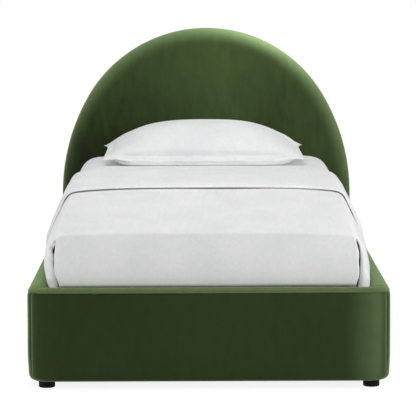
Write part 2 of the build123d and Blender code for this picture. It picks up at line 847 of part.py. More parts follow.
def bedding():
    """The mattress in its fitted sheet, the duvet and the pillow."""
    mattress = mattress_form(0)
    return {
        "mattress": mattress,
        "fitted_sheet": mattress_form(seat_gap + sheet_thickness) - mattress_form(seat_gap),
        "duvet": duvet(),
        "pillow": pillow(),
    }


def parts():
    """Every sub-part by name."""
    pieces = {}
    for build in (foot_rail, side_rails, headboard, slats, ledgers, centre_support, centre_legs):
        pieces.update(build())
    for build in (brackets, fasteners, feet, bedding):
        pieces.update(build())
    return pieces


os.makedirs("parts", exist_ok=True)
for name, shape in parts().items():
    export_step(shape, f"parts/{name}.step")
    print(name, round(shape.volume), "mm3")
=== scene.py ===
"""Looks of the platform bed: velvet, bedding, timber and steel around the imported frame.

Lengths are in metres in the frame's own axes: +Z up, the foot end of the bed facing -Y.
"""

import logging
import math
from dataclasses import dataclass
from enum import Enum
from typing import Callable, Sequence, Union

import bmesh
import bpy
from mathutils import Matrix, Vector, noise


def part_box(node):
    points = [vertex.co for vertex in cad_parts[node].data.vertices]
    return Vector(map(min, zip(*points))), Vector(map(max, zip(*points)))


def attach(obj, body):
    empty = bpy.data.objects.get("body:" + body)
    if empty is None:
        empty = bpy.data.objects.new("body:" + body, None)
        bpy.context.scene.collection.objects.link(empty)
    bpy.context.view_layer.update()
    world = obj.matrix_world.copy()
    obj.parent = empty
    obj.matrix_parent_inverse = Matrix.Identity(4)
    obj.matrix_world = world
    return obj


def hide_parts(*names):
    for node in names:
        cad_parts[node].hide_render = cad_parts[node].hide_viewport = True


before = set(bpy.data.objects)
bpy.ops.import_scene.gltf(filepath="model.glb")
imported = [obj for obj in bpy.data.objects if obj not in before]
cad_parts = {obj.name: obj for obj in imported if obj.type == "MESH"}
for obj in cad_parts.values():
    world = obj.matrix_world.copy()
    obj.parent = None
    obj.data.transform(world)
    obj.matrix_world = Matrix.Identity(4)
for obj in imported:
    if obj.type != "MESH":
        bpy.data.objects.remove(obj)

log = logging.getLogger("bed")
Triple = tuple[float, float, float]
Point = Union[Vector, Triple]
Colour = tuple[float, float, float, float]
Span = tuple[float, float]
Number = Union["Value", float]
EVEN = (1.0, 1.0, 1.0)
UP = (0, 0, 1)
WELD = 1e-5


def linear(level: int) -> float:
    """Turns a level on a screen, from 0 to 255, into the shader's linear one."""
    share = level / 255
    return share / 12.92 if share <= 0.04045 else ((share + 0.055) / 1.055) ** 2.4


def srgb(red: int, green: int, blue: int) -> Colour:
    """Turns a colour as it shows on a screen into the shader's linear one."""
    return linear(red), linear(green), linear(blue), 1.0


def share_of(value: float, low: float, high: float) -> float:
    """Gives how far a value has come from low to high, from 0 to 1."""
    return min(1.0, max(0.0, (value - low) / (high - low)))


def smooth_share(value: float, low: float, high: float) -> float:
    """Gives how far a value has come from low to high, from 0 to 1 with soft ends."""
    share = share_of(value, low, high)
    return share * share * (3 - 2 * share)


def between(first: float, last: float, share: float) -> float:
    """Gives the value a share of the way from first to last."""
    return first + (last - first) * share


def dome(share: float, squareness: float, ease: float) -> float:
    """Gives a padded form's fullness: 1 in the middle and 0 where the share of its half is 1."""
    return (1 - share ** squareness) ** ease


class Value:
    """A number from a node, on which Python's arithmetic adds Math nodes."""

    def __init__(self, nodes: "Nodes", socket: bpy.types.NodeSocket) -> None:
        """Keeps the nodes that the number belongs to and the socket it comes from."""
        self.nodes = nodes
        self.socket = socket

    def math(self, operation: str, *values: Number) -> "Value":
        """Adds one Math node for Blender's operation of that name, with its inputs in order."""
        return self.nodes.value("ShaderNodeMath", {"operation": operation}, dict(enumerate(values)))

    def __add__(self, other: Number) -> "Value":
        """Adds a number."""
        return self.math("ADD", self, other)

    __radd__ = __add__

    def __mul__(self, other: Number) -> "Value":
        """Multiplies by a number."""
        return self.math("MULTIPLY", self, other)

    __rmul__ = __mul__

    def __sub__(self, other: Number) -> "Value":
        """Takes a number away."""
        return self.math("SUBTRACT", self, other)

    def __rsub__(self, other: Number) -> "Value":
        """Takes this away from a number."""
        return self.math("SUBTRACT", other, self)

    def __pow__(self, power: float) -> "Value":
        """Raises to a power."""
        return self.math("POWER", self, power)

    def sine(self) -> "Value":
        """Gives the sine."""
        return self.math("SINE", self)

    def ramp(self, low: float, high: float) -> "Value":
        """Spreads the stretch from low to high over 0 to 1 and cuts off the rest."""
        inputs = {"Value": self, "From Min": low, "From Max": high}
        return self.nodes.value("ShaderNodeMapRange", {"clamp": True}, inputs, "Result")


class Nodes:
    """A node tree under construction."""

    def __init__(self, tree: bpy.types.NodeTree) -> None:
        """Keeps the tree."""
        self.tree = tree

    def node(self, kind: str, settings: dict, inputs: dict) -> bpy.types.Node:
        """Adds a node.

        Args:
            kind: The node's type.
            settings: Its properties, which are set first.
            inputs: The value or link of each named or numbered input.

        Returns:
            The new node.
        """
        made = self.tree.nodes.new(kind)
        for key, value in settings.items():
            setattr(made, key, value)
        for key, value in inputs.items():
            self.feed(made.inputs[key], value)
        return made

    def value(self, kind: str, settings: dict, inputs: dict, output: Union[int, str] = 0) -> Value:
        """Adds a node as above and gives the number at one of its outputs."""
        return Value(self, self.node(kind, settings, inputs).outputs[output])

    def feed(self, socket: bpy.types.NodeSocket, value: object) -> None:
        """Links or sets one input.

        Args:
            socket: The input.
            value: A Value, another node's output, or a plain value.
        """
        if isinstance(value, Value):
            value = value.socket
        if isinstance(value, bpy.types.NodeSocket):
            self.tree.links.new(value, socket)
        else:
            socket.default_value = value

    def on_rays(self, *kinds: str) -> Value:
        """Gives 1 to light rays of the kinds that Light Path names so, and 0 to all others.

        Args:
            kinds: Light Path's names of the kinds.

        Returns:
            The number, 1 or 0.
        """
        path = self.node("ShaderNodeLightPath", {}, {})
        first, *others = [Value(self, path.outputs[kind]) for kind in kinds]
        return sum(others, first).ramp(0.0, 1.0)


class Paint(Nodes):
    """One material under construction, with a method for each kind of pattern."""

    def __init__(self, name: str) -> None:
        """Starts a material with a Principled shader.

        Args:
            name: The material's name.
        """
        self.material = bpy.data.materials.new(name)
        self.material.use_nodes = True
        super().__init__(self.material.node_tree)
        self.shader = self.tree.nodes["Principled BSDF"]
        self.place = self.node("ShaderNodeTexCoord", {}, {}).outputs["Object"]

    def stretched(self, scale: Triple) -> bpy.types.NodeSocket:
        """Gives the place on the piece with each coordinate times a factor."""
        return self.node("ShaderNodeMapping", {}, {"Vector": self.place, "Scale": scale}).outputs[0]

    def noise(self, scale: float, detail: float, stretch: Triple = EVEN) -> Value:
        """Gives soft random patches around one half, scale to a metre, with finer layers of detail."""
        inputs = {"Vector": self.stretched(stretch), "Scale": scale, "Detail": detail}
        return self.value("ShaderNodeTexNoise", {}, inputs)

    def cells(self, scale: float) -> Value:
        """Gives the distance to the nearest of many scattered points."""
        return self.value("ShaderNodeTexVoronoi", {}, {"Vector": self.place, "Scale": scale}, "Distance")

    def axis(self, name: str) -> Value:
        """Gives one coordinate of the place on the piece, in metres."""
        return self.value("ShaderNodeSeparateXYZ", {}, {"Vector": self.place}, name)

    def attribute(self, name: str) -> Value:
        """Gives a number that the piece's mesh carries."""
        return self.value("ShaderNodeAttribute", {"attribute_name": name}, {}, "Fac")

    def facing(self) -> Value:
        """Gives 0 where the surface is seen square on and 1 where it is seen edge on."""
        return self.value("ShaderNodeLayerWeight", {}, {"Blend": 0.5}, "Facing")

    def blend(self, share: Value, first: object, last: object) -> bpy.types.NodeSocket:
        """Mixes two colours or colour outputs, with the share that the last one has."""
        inputs = {0: share, 6: first, 7: last}
        return self.node("ShaderNodeMix", {"data_type": "RGBA"}, inputs).outputs[2]

    def relief(self, height: Value, depth: float, strength: float) -> None:
        """Raises the surface by a pattern, over any relief that is there already.

        Args:
            height: The pattern.
            depth: What a height of one stands for, in metres.
            strength: How strongly it shows.
        """
        inputs = {"Height": height, "Distance": depth, "Strength": strength}
        links = self.shader.inputs["Normal"].links
        if links:
            inputs["Normal"] = links[0].from_socket
        self.feed(self.shader.inputs["Normal"], self.node("ShaderNodeBump", {}, inputs).outputs[0])

    def finish(self, **values: object) -> None:
        """Sets the shader's inputs, each by its name with underscores for spaces."""
        for key, value in values.items():
            self.feed(self.shader.inputs[key.replace("_", " ").title().replace("Ior", "IOR")], value)


class Grain(Enum):
    """The way that a board's grain runs, as the stretch of its figure."""

    ACROSS = (0.06, 1.0, 1.0)
    ALONG = (1.0, 0.06, 1.0)
    UPRIGHT = (1.0, 1.0, 0.06)


@dataclass(frozen=True)
class Finish:
    """What all finishes share: the slot that names the finish for users of the part."""

    slot: str

    @property
    def name(self) -> str:
        """The material's name, which differs from the slot's where a slot has several."""
        return self.slot

    def coat(self, paint: Paint) -> None:
        """Lays the finish on a new material."""
        raise NotImplementedError


@dataclass(frozen=True)
class Velvet(Finish):
    """Cut-pile upholstery velvet with a soft nap, with a painted sheen at grazing angles, painted highlights
    at bends and corners, and a painted slope of light and shade across it.
    """

    slot: str = "green_velvet"
    kind: str = ""
    deep: Colour = srgb(35, 46, 22)
    bright: Colour = srgb(48, 63, 32)
    # rim: painted sheen colour, shown where the surface is seen edge on
    rim: Colour = srgb(110, 134, 83)
    painted_sheen_start: float = 0.22
    painted_sheen_power: float = 1.4
    # raised: painted highlight colour, laid where the mesh's bend attribute is high
    raised: Colour = srgb(116, 138, 94)
    sheen_tint: Colour = srgb(186, 214, 146)
    sheen: float = 0.25
    # sweep: painted slope of light, lighter towards the right (+X) and darker towards the left, fading out
    # over the heights that follow
    sweep: float = 0.14
    painted_slope_heights: Span = (0.60, 0.82)
    # rise: painted shade lower down and painted light higher up, about the height that follows
    rise: float = 0.0
    painted_rise_middle: float = 0.88
    shades: Span = (0.17, 0.65)

    @property
    def name(self) -> str:
        """The material's name, one for each kind, which has its own tones and its own painted light and
        shade.
        """
        return self.slot + self.kind

    def coat(self, paint: Paint) -> None:
        """Lays the nap and the pile on a material, with a painted sheen where it is seen edge on, a painted
        highlight where the mesh marks one, and a painted slope of light and shade.

        Args:
            paint: The material under construction.
        """
        nap = paint.noise(3.2, 3.0, (1.0, 1.0, 0.55))
        brushed = paint.noise(46.0, 3.0, (1.0, 1.0, 0.35))
        pile = paint.noise(1500.0, 1.0)
        height = paint.axis("Z")
        # Painted slope of light and shade, added to the random nap before the tones are chosen.
        painted_slope = paint.axis("X") * self.sweep * (1 - height.ramp(*self.painted_slope_heights))
        painted_slope += (height - self.painted_rise_middle) * self.rise
        shade = (nap * 0.45 + brushed * 0.22 + pile * 0.16 + painted_slope).ramp(*self.shades)
        paint.relief(pile, 0.0004, 0.35)
        paint.relief(brushed, 0.0005, 0.25)
        # Painted sheen: the rim colour where the surface is seen edge on, as a grazing highlight.
        turned = (paint.facing().ramp(self.painted_sheen_start, 1.0) ** self.painted_sheen_power) * (0.8 + brushed * 0.4)
        # Painted highlight: the raised colour where the bend attribute marks the rounded edges, the strip
        # and the corners.
        painted_light = paint.attribute("bend") * (0.72 + brushed * 0.4)
        pile_colour_with_highlight = paint.blend(painted_light, paint.blend(shade, self.deep, self.bright), self.raised)
        paint.finish(
            base_color=paint.blend(turned, pile_colour_with_highlight, self.rim),
            roughness=0.62 + nap * 0.16,
            sheen_weight=self.sheen,
            sheen_roughness=0.30,
            sheen_tint=self.sheen_tint,
            specular_ior_level=0.10,
        )


@dataclass(frozen=True)
class Cotton(Finish):
    """White percale bed linen with a fine plain weave."""

    slot: str = "white_cotton"
    thread: float = 0.0006
    light: Colour = srgb(246, 246, 246)
    shade: Colour = srgb(234, 235, 236)

    def coat(self, paint: Paint) -> None:
        """Lays the weave and its slubs on a material.

        Args:
            paint: The material under construction.
        """
        turns = 2 * math.pi / self.thread
        warp = (paint.axis("X") * turns).sine()
        weft = ((paint.axis("Y") + paint.axis("Z")) * turns).sine()
        slub = paint.noise(90.0, 3.0, (1.0, 0.12, 1.0))
        cloudy = paint.noise(7.0, 3.0)
        paint.relief(warp * weft, self.thread * 0.18, 0.25)
        paint.relief(slub, 0.0006, 0.3)
        paint.finish(
            base_color=paint.blend((cloudy * 0.6 + slub * 0.4).ramp(0.35, 0.7), self.shade, self.light),
            roughness=0.82 + slub * 0.1,
            sheen_weight=0.12,
            sheen_roughness=0.5,
            specular_ior_level=0.2,
        )


@dataclass(frozen=True)
class Ticking(Finish):
    """Mattress ticking: white weave with thin grey stripes."""

    slot: str = "mattress_ticking"
    light: Colour = srgb(232, 230, 224)
    stripe: Colour = srgb(168, 176, 184)
    spacing: float = 0.03

    def coat(self, paint: Paint) -> None:
        """Lays the weave and the stripes on a material.

        Args:
            paint: The material under construction.
        """
        wave = (paint.axis("X") * (2 * math.pi / self.spacing)).sine()
        weave = paint.noise(700.0, 1.0, (1.0, 0.4, 1.0))
        paint.relief(weave, 0.0004, 0.4)
        share = wave.ramp(0.82, 0.92) * (weave * 0.4 + 0.7)
        colour = paint.blend(share, self.light, self.stripe)
        paint.finish(base_color=colour, roughness=0.85 + weave * 0.1, sheen_weight=0.1)


@dataclass(frozen=True)
class Foam(Finish):
    """Open-cell upholstery foam."""

    slot: str = "upholstery_foam"
    light: Colour = srgb(226, 214, 178)
    pores: Colour = srgb(186, 168, 122)

    def coat(self, paint: Paint) -> None:
        """Lays the open cells on a material.

        Args:
            paint: The material under construction.
        """
        cells = paint.cells(620.0)
        paint.relief(cells, 0.0008, 0.6)
        share = (cells * 1.2 + paint.noise(12.0, 2.0) * 0.3).ramp(0.2, 0.95)
        paint.finish(base_color=paint.blend(share, self.pores, self.light), roughness=0.9 + cells * 0.1)


@dataclass(frozen=True)
class DustCloth(Finish):
    """Black non-woven cloth that closes the back."""

    slot: str = "black_cloth"
    black: Colour = srgb(22, 22, 23)
    fleck: Colour = srgb(46, 46, 48)

    def coat(self, paint: Paint) -> None:
        """Lays the bonded dots and fibres on a material.

        Args:
            paint: The material under construction.
        """
        dots = paint.cells(420.0)
        fibres = paint.noise(260.0, 4.0, (1.0, 1.0, 0.4))
        paint.relief(dots, 0.0005, 0.5)
        colour = paint.blend((fibres * 0.8 + dots * 0.4).ramp(0.4, 0.9), self.black, self.fleck)
        paint.finish(base_color=colour, roughness=0.8 + fibres * 0.15, sheen_weight=0.15)


@dataclass(frozen=True)
class Wood(Finish):
    """Sawn timber or plywood with grain along the board."""

    grain: Grain
    early: Colour
    late: Colour
    rings: float = 34.0

    @property
    def name(self) -> str:
        """The material's name, one for each direction of the grain."""
        return f"{self.slot}_{self.grain.name.lower()}"

    def coat(self, paint: Paint) -> None:
        """Lays the year rings and the pores on a material.

        Args:
            paint: The material under construction.
        """
        figure = paint.noise(self.rings, 4.0, self.grain.value)
        pores = paint.noise(self.rings * 26, 2.0, self.grain.value)
        bands = (figure * 26.0).sine() * 0.5 + 0.5
        paint.relief(pores, 0.0005, 0.35)
        paint.relief(bands, 0.0002, 0.2)
        colour = paint.blend((bands * 0.55 + pores * 0.5).ramp(0.15, 0.95), self.early, self.late)
        paint.finish(base_color=colour, roughness=0.52 + pores * 0.28, specular_ior_level=0.35)


@dataclass(frozen=True)
class Zinc(Finish):
    """Bright zinc-plated steel of the screws, bolts and inserts."""

    slot: str = "zinc_steel"
    pale: Colour = srgb(208, 212, 216)
    blue: Colour = srgb(176, 186, 198)

    def coat(self, paint: Paint) -> None:
        """Lays the spangle and fine scratches on a material.

        Args:
            paint: The material under construction.
        """
        scratches = paint.noise(900.0, 2.0, (1.0, 0.2, 1.0))
        paint.relief(scratches, 0.0001, 0.3)
        colour = paint.blend(paint.cells(260.0).ramp(0.1, 0.8), self.blue, self.pale)
        paint.finish(base_color=colour, metallic=1.0, roughness=0.22 + scratches * 0.25)


@dataclass(frozen=True)
class PowderCoat(Finish):
    """Black powder-coated steel of the brackets, hangers and legs."""

    slot: str = "black_steel"
    black: Colour = srgb(24, 24, 25)
    worn: Colour = srgb(50, 50, 52)

    def coat(self, paint: Paint) -> None:
        """Lays the coat's fine orange peel and handled patches on a material.

        Args:
            paint: The material under construction.
        """
        handled = paint.noise(14.0, 4.0)
        paint.relief(paint.noise(650.0, 2.0), 0.0003, 0.35)
        colour = paint.blend(handled.ramp(0.52, 0.8), self.black, self.worn)
        paint.finish(base_color=colour, roughness=0.42 + handled * 0.2)


@dataclass(frozen=True)
class Plastic(Finish):
    """Moulded black plastic of the feet and glides."""

    slot: str = "black_plastic"
    black: Colour = srgb(6, 6, 6)
    scuffed: Colour = srgb(20, 20, 20)

    def coat(self, paint: Paint) -> None:
        """Lays the mould's grain and scuffs on a material.

        Args:
            paint: The material under construction.
        """
        scuffs = paint.noise(60.0, 4.0, (1.0, 1.0, 3.0))
        paint.relief(paint.noise(1100.0, 2.0), 0.0002, 0.3)
        colour = paint.blend(scuffs.ramp(0.55, 0.85), self.black, self.scuffed)
        paint.finish(base_color=colour, roughness=0.52 + scuffs * 0.25, specular_ior_level=0.1)


@dataclass(frozen=True)
class Straight:
    """A straight run of an outline."""

    offset: Triple
    steps: int = 1


@dataclass(frozen=True)
class Bend:
    """An arc of an outline about a centre and an axis, in degrees."""

    centre: Triple
    axis: Triple
    degrees: float
    steps: int


def trace(mesh: bmesh.types.BMesh, geometry: list, moves: Sequence[Union[Straight, Bend]]) -> list:
    """Draws a vertex, or sweeps an outline, along straight runs and arcs.

    Args:
        mesh: The mesh to draw in.
        geometry: The vertex or the outline's vertices and edges to start from.
        moves: The runs and arcs in order.

    Returns:
        The geometry at the end of the last move.
    """
    for move in moves:
        arc = isinstance(move, Bend)
        made = bmesh.ops.spin(
            mesh,
            geom=geometry,
            cent=move.centre if arc else (0, 0, 0),
            axis=move.axis if arc else UP,
            dvec=(0, 0, 0) if arc else tuple(a / move.steps for a in move.offset),
            angle=math.radians(move.degrees) if arc else 0.0,
            space=Matrix.Identity(4),
            steps=move.steps,
            use_merge=False,
            use_normal_flip=False,
            use_duplicate=False,
        )
        geometry = made["geom_last"]
    return geometry


def outline_face(start: Point, moves: Sequence[Union[Straight, Bend]]) -> bmesh.types.BMesh:
    """Draws a closed outline and fills it with one face.

    Args:
        start: Where the outline starts and ends.
        moves: Its runs and arcs.

    Returns:
        The mesh with that face.
    """
    mesh = bmesh.new()
    trace(mesh, [mesh.verts.new(start)], moves)
    bmesh.ops.remove_doubles(mesh, verts=mesh.verts, dist=WELD)
    bmesh.ops.contextual_create(mesh, geom=mesh.edges[:])
    return mesh


def only_verts(made: dict) -> list:
    """Gives the vertices among what an operator made."""
    return [item for item in made["geom"] if isinstance(item, bmesh.types.BMVert)]


def thicken(mesh: bmesh.types.BMesh, offset: Point) -> None:
    """Extrudes the mesh's one face by an offset into a solid.

    Args:
        mesh: The mesh.
        offset: How far and which way.
    """
    made = bmesh.ops.extrude_face_region(mesh, geom=mesh.faces[:])
    bmesh.ops.translate(mesh, verts=only_verts(made), vec=offset)
    bmesh.ops.recalc_face_normals(mesh, faces=mesh.faces)


def round_edges(mesh: bmesh.types.BMesh, edges: Sequence, radius: float, segments: int) -> None:
    """Rounds edges to a radius.

    Args:
        mesh: The mesh.
        edges: Its edges to round.
        radius: The radius.
        segments: How many facets each round gets.
    """
    bmesh.ops.bevel(
        mesh,
        geom=list(edges),
        offset=radius,
        offset_type="OFFSET",
        affect="EDGES",
        segments=segments,
        profile=0.5,
        material=-1,
        clamp_overlap=True,
    )


def edges_at(mesh: bmesh.types.BMesh, y: float) -> list:
    """Gives the edges that lie in the upright plane at a Y."""
    return [e for e in mesh.edges if all(abs(v.co.y - y) < WELD for v in e.verts)]


def add_object(name: str, data: bpy.types.ID) -> bpy.types.Object:
    """Adds an object to the scene, at the origin.

    Args:
        name: Its name.
        data: Its mesh, camera or lamp.

    Returns:
        The new object.
    """
    made = bpy.data.objects.new(name, data)
    bpy.context.scene.collection.objects.link(made)
    return made


def as_object(mesh: bmesh.types.BMesh, name: str) -> bpy.types.Object:
    """Makes a scene object of a mesh and frees the mesh.

    Args:
        mesh: The finished mesh.
        name: The object's name.

    Returns:
        The new object at the origin.
    """
    data = bpy.data.meshes.new(name)
    mesh.to_mesh(data)
    mesh.free()
    return add_object(name, data)


def modify(piece: bpy.types.Object, kind: str, **settings: object) -> None:
    """Adds a modifier of a type with its properties.

    Args:
        piece: The object.
        kind: The modifier's type.
        settings: The modifier's properties.
    """
    made = piece.modifiers.new(kind.title(), kind)
    for key, value in settings.items():
        setattr(made, key, value)


def settle(piece: bpy.types.Object) -> None:
    """Applies a piece's modifiers to its mesh.

    Args:
        piece: The object.
    """
    bpy.context.view_layer.update()
    graph = bpy.context.evaluated_depsgraph_get()
    data = bpy.data.meshes.new_from_object(piece.evaluated_get(graph))
    data.name = piece.name
    piece.modifiers.clear()
    piece.data = data


def remesh(piece: bpy.types.Object, voxel: float, rounds: int) -> None:
    """Gives a piece an even net and softens its edges in a number of rounds.

    Args:
        piece: The object.
        voxel: The net's width.
        rounds: How many times it is softened.
    """
    modify(piece, "REMESH", mode="VOXEL", voxel_size=voxel)
    modify(piece, "SMOOTH", factor=0.5, iterations=rounds)
    settle(piece)


def refine(piece: bpy.types.Object, levels: int) -> None:
    """Divides a piece's faces smoothly."""
    modify(piece, "SUBSURF", levels=levels, render_levels=levels)
    settle(piece)


def move_points(piece: bpy.types.Object, rule: Callable[[Vector, Vector], Vector]) -> None:
    """Moves each point of a mesh.

    Args:
        piece: The object.
        rule: Gives a point's offset from its place and its outward normal.
    """
    normals = [v.normal.copy() for v in piece.data.vertices]
    for point, normal in zip(piece.data.vertices, normals):
        point.co += rule(point.co, normal)
    piece.data.update()


def mark_painted_light(piece: bpy.types.Object, rule: Callable[[Vector], float]) -> None:
    """Notes on each point of a velvet piece its share of painted highlight, from 0 to 1, in the attribute
    bend.

    Args:
        piece: The object.
        rule: Gives the share at a place.
    """
    mark = piece.data.attributes.new("bend", "FLOAT", "POINT")
    for point, item in zip(piece.data.vertices, mark.data):
        item.value = rule(point.co)


@dataclass(frozen=True)
class Ripple:
    """Soft random waves of a cloth: how many to a metre, their seed, depth and stretch."""

    waves: float
    seed: float
    depth: float
    stretch: Triple = EVEN

    def at(self, place: Point, hand: int = 1) -> float:
        """Gives the waves' height at a place, in another pattern where the hand is -1.

        Args:
            place: The point.
            hand: 1, or -1 for the other side's pattern.

        Returns:
            The height, around zero.
        """
        seed = self.seed * hand
        stretched = Vector([c * s for c, s in zip(place, self.stretch)])
        return noise.noise(stretched * self.waves + Vector((seed, seed * 1.7, -seed))) * self.depth


class Wardrobe:
    """All finishes, each made once."""

    def __init__(self) -> None:
        """Starts empty."""
        self.made: dict[str, bpy.types.Material] = {}

    def get(self, finish: Finish) -> bpy.types.Material:
        """Gives a finish's material, and makes it the first time.

        Args:
            finish: The finish.

        Returns:
            Its material.
        """
        if finish.name not in self.made:
            paint = Paint(finish.name)
            finish.coat(paint)
            self.made[finish.name] = paint.material
        return self.made[finish.name]

    def dress(self, piece: bpy.types.Object, finish: Finish) -> None:
        """Gives a piece one finish all over."""
        piece.data.materials.clear()
        piece.data.materials.append(self.get(finish))


@dataclass
class SoftPiece:
    """A sewn piece, which is dressed from the wardrobe and handed to the frame."""

    wardrobe: Wardrobe

    def hand_over(self, piece: bpy.types.Object, finish: Finish, body: str, node: str) -> None:
        """Dresses a finished piece and lets it stand for a plain one.

        Args:
            piece: The finished object.
            finish: Its finish.
            body: The moving body that carries it.
            node: The plain piece that it stands for.
        """
        self.wardrobe.dress(piece, finish)
        for face in piece.data.polygons:
            face.use_smooth = True
        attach(piece, body)
        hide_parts(node)
        log.info("%s: %d faces", piece.name, len(piece.data.polygons))


@dataclass
class Arch:
    """The headboard's outline: straight sides, two haunch arcs and a crown arc."""

    half_width: float
    top: float
    spring: float = 0.412
    haunch_degrees: float = 31.5
    side_steps: int = 4
    corner_steps: int = 8
    haunch_steps: int = 26
    crown_steps: int = 66

    def __post_init__(self) -> None:
        """Works out the arcs that join smoothly."""
        turn = math.radians(self.haunch_degrees)
        rise = self.top - self.spring
        spread = (rise - self.half_width) / (math.sin(turn) + math.cos(turn) - 1)
        self.offset = spread * math.cos(turn)
        self.haunch = self.half_width + self.offset
        self.crown = self.haunch - spread
        self.crown_centre = self.top - self.crown

    def moves(self, y: float, base: float, corner: float) -> tuple[Point, list]:
        """Gives the outline as a start and its moves.

        Args:
            y: The plane that it lies in.
            base: The height of its lower edge.
            corner: The radius of its lower corners, or zero.

        Returns:
            The start and the runs and arcs.
        """
        side = self.half_width
        towards = (0, -1, 0)
        rise = self.spring - base - corner
        crown_degrees = 180 - 2 * self.haunch_degrees
        moves = [
            Straight((0, 0, rise), self.side_steps),
            Bend((-self.offset, y, self.spring), towards, self.haunch_degrees, self.haunch_steps),
            Bend((0, y, self.crown_centre), towards, crown_degrees, self.crown_steps),
            Bend((self.offset, y, self.spring), towards, self.haunch_degrees, self.haunch_steps),
            Straight((0, 0, -rise), self.side_steps),
        ]
        if corner:
            moves.append(Bend((-side + corner, y, base + corner), towards, 90, self.corner_steps))
        moves.append(Straight((2 * (side - corner), 0, 0)))
        if corner:
            moves.append(Bend((side - corner, y, base + corner), towards, 90, self.corner_steps))
        return (side, y, base + corner), moves

    def depth_inside(self, x: float, z: float) -> float:
        """Gives how far a place lies in from the outline's edge.

        Args:
            x: The place's X.
            z: The place's Z.

        Returns:
            The depth, below zero outside.
        """
        if z <= self.spring:
            return self.half_width - abs(x)
        turn = math.atan2(z - self.spring, abs(x) + self.offset)
        if turn < math.radians(self.haunch_degrees):
            return self.haunch - math.hypot(abs(x) + self.offset, z - self.spring)
        return self.crown - math.hypot(x, z - self.crown_centre)


@dataclass
class Headboard(SoftPiece):
    """The velvet over the arched pad and down the back of the frame."""

    slab_depth: float = 0.060
    front_radius: float = 0.048
    back_radius: float = 0.006
    corner_radius: float = 0.052
    cloth_depth: float = 0.001
    rail_gap: float = 0.003
    rail_top: float = 0.311
    voxel: float = 0.0062
    crown_swell: float = 0.0012
    crown_margins: Span = (0.02, 0.30)
    front_turned: Span = (0.3, 0.95)
    edge_turned: Span = (0.1, 0.6)
    hem_turned: Span = (0.1, 0.5)
    clear_heights: Span = (0.50, 0.72)
    broad: Ripple = Ripple(5.0, 3.1, 0.0012)
    fine: Ripple = Ripple(17.0, 8.3, 0.0005)
    rim_ease: float = 0.0026
    rim_depths: Span = (-0.06, -0.02)
    plain_heights: Span = (-0.01, 0.03)
    hem_heights: Span = (0.030, 0.045)
    front_ease: float = 0.0022
    back_ease: float = 0.0008
    hem_drop: float = 0.0024
    # Painted highlight in a band along the pad's rounded edge, only higher up, with painted shade at the
    # lower left where the band is taken away.
    painted_highlight_width: float = 0.062
    painted_highlight_heights: Span = (0.30, 0.62)
    painted_shade_share: float = 0.6
    painted_shade_reaches: Span = (0.30, 0.50)
    painted_shade_heights: Span = (0.62, 0.84)

    def __post_init__(self) -> None:
        """Reads the headboard's place from the frame."""
        self.low, self.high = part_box("headboard_cover")
        self.arch = Arch(self.high.x, self.high.z)

    def build(self) -> None:
        """Builds the cover."""
        front = self.low.y
        back = self.high.y
        slab = outline_face(*self.arch.moves(back, self.low.z, 0))
        thicken(slab, (0, self.cloth_depth - self.slab_depth, 0))
        round_edges(slab, edges_at(slab, back), self.back_radius, 3)
        pad = outline_face(*self.arch.moves(front, self.rail_top + self.rail_gap, self.corner_radius))
        thicken(pad, (0, back - self.back_radius - front, 0))
        round_edges(pad, edges_at(pad, front), self.front_radius, 9)
        cover = as_object(slab, "headboard_velvet")
        other = as_object(pad, "headboard_pad_form")
        modify(cover, "BOOLEAN", operation="UNION", solver="EXACT", object=other)
        settle(cover)
        bpy.data.objects.remove(other)
        remesh(cover, self.voxel, 5)
        move_points(cover, self.swell)
        # Marks the painted highlight and the painted shade on the velvet.
        mark_painted_light(cover, self.painted_light)
        tones = {"deep": srgb(31, 42, 20), "bright": srgb(70, 88, 48)}
        # The board's velvet has its own tones, a stronger painted slope of light towards the right and
        # painted shade lower down.
        board_velvet_with_painted_light = Velvet(kind="_board", sweep=0.26, rise=0.32, **tones)
        self.hand_over(cover, board_velvet_with_painted_light, "frame", "headboard_cover")

    def painted_light(self, place: Vector) -> float:
        """Gives the painted highlight along the pad's rounded edge, with painted shade at the lower left
        where it is taken away.

        Args:
            place: The point.

        Returns:
            The share, from 0 to 1.
        """
        depth = max(0.0, self.arch.depth_inside(place.x, place.z))
        near_edge = max(0.0, 1 - depth / self.painted_highlight_width) ** 2
        left = smooth_share(-place.x, *self.painted_shade_reaches)
        low = 1 - smooth_share(place.z, *self.painted_shade_heights)
        return (1 - self.painted_shade_share * left * low) * smooth_share(place.z, *self.painted_highlight_heights) * near_edge

    def swell(self, place: Vector, normal: Vector) -> Vector:
        """Crowns the pad's front and gives the cloth its slight unevenness.

        Args:
            place: The point.
            normal: Its outward normal.

        Returns:
            The point's offset.
        """
        front = smooth_share(-normal.y, *self.front_turned)
        inside = smooth_share(self.arch.depth_inside(place.x, place.z), *self.crown_margins)
        clear = smooth_share(place.z, *self.clear_heights)
        uneven = self.broad.at(place) + self.fine.at(place)
        edge = smooth_share(math.hypot(normal.x, normal.z), *self.edge_turned)
        plain = 1 - smooth_share(place.z - self.rail_top, *self.plain_heights)
        rim = max(plain, smooth_share(place.y - self.high.y, *self.rim_depths)) * edge
        low = 1 - smooth_share(place.z, *self.hem_heights)
        ahead = self.front_ease * plain * smooth_share(-normal.y, *self.hem_turned)
        behind = self.back_ease * low * smooth_share(normal.y, *self.hem_turned)
        push = Vector((0, behind - front * inside * clear * self.crown_swell - ahead, -self.hem_drop * low))
        flat = Vector((normal.x, 0, normal.z))
        return push + normal * uneven * clear + flat * rim * self.rim_ease


class Hand(Enum):
    """The bed's sides, as seen from its foot."""

    LEFT = -1
    RIGHT = 1


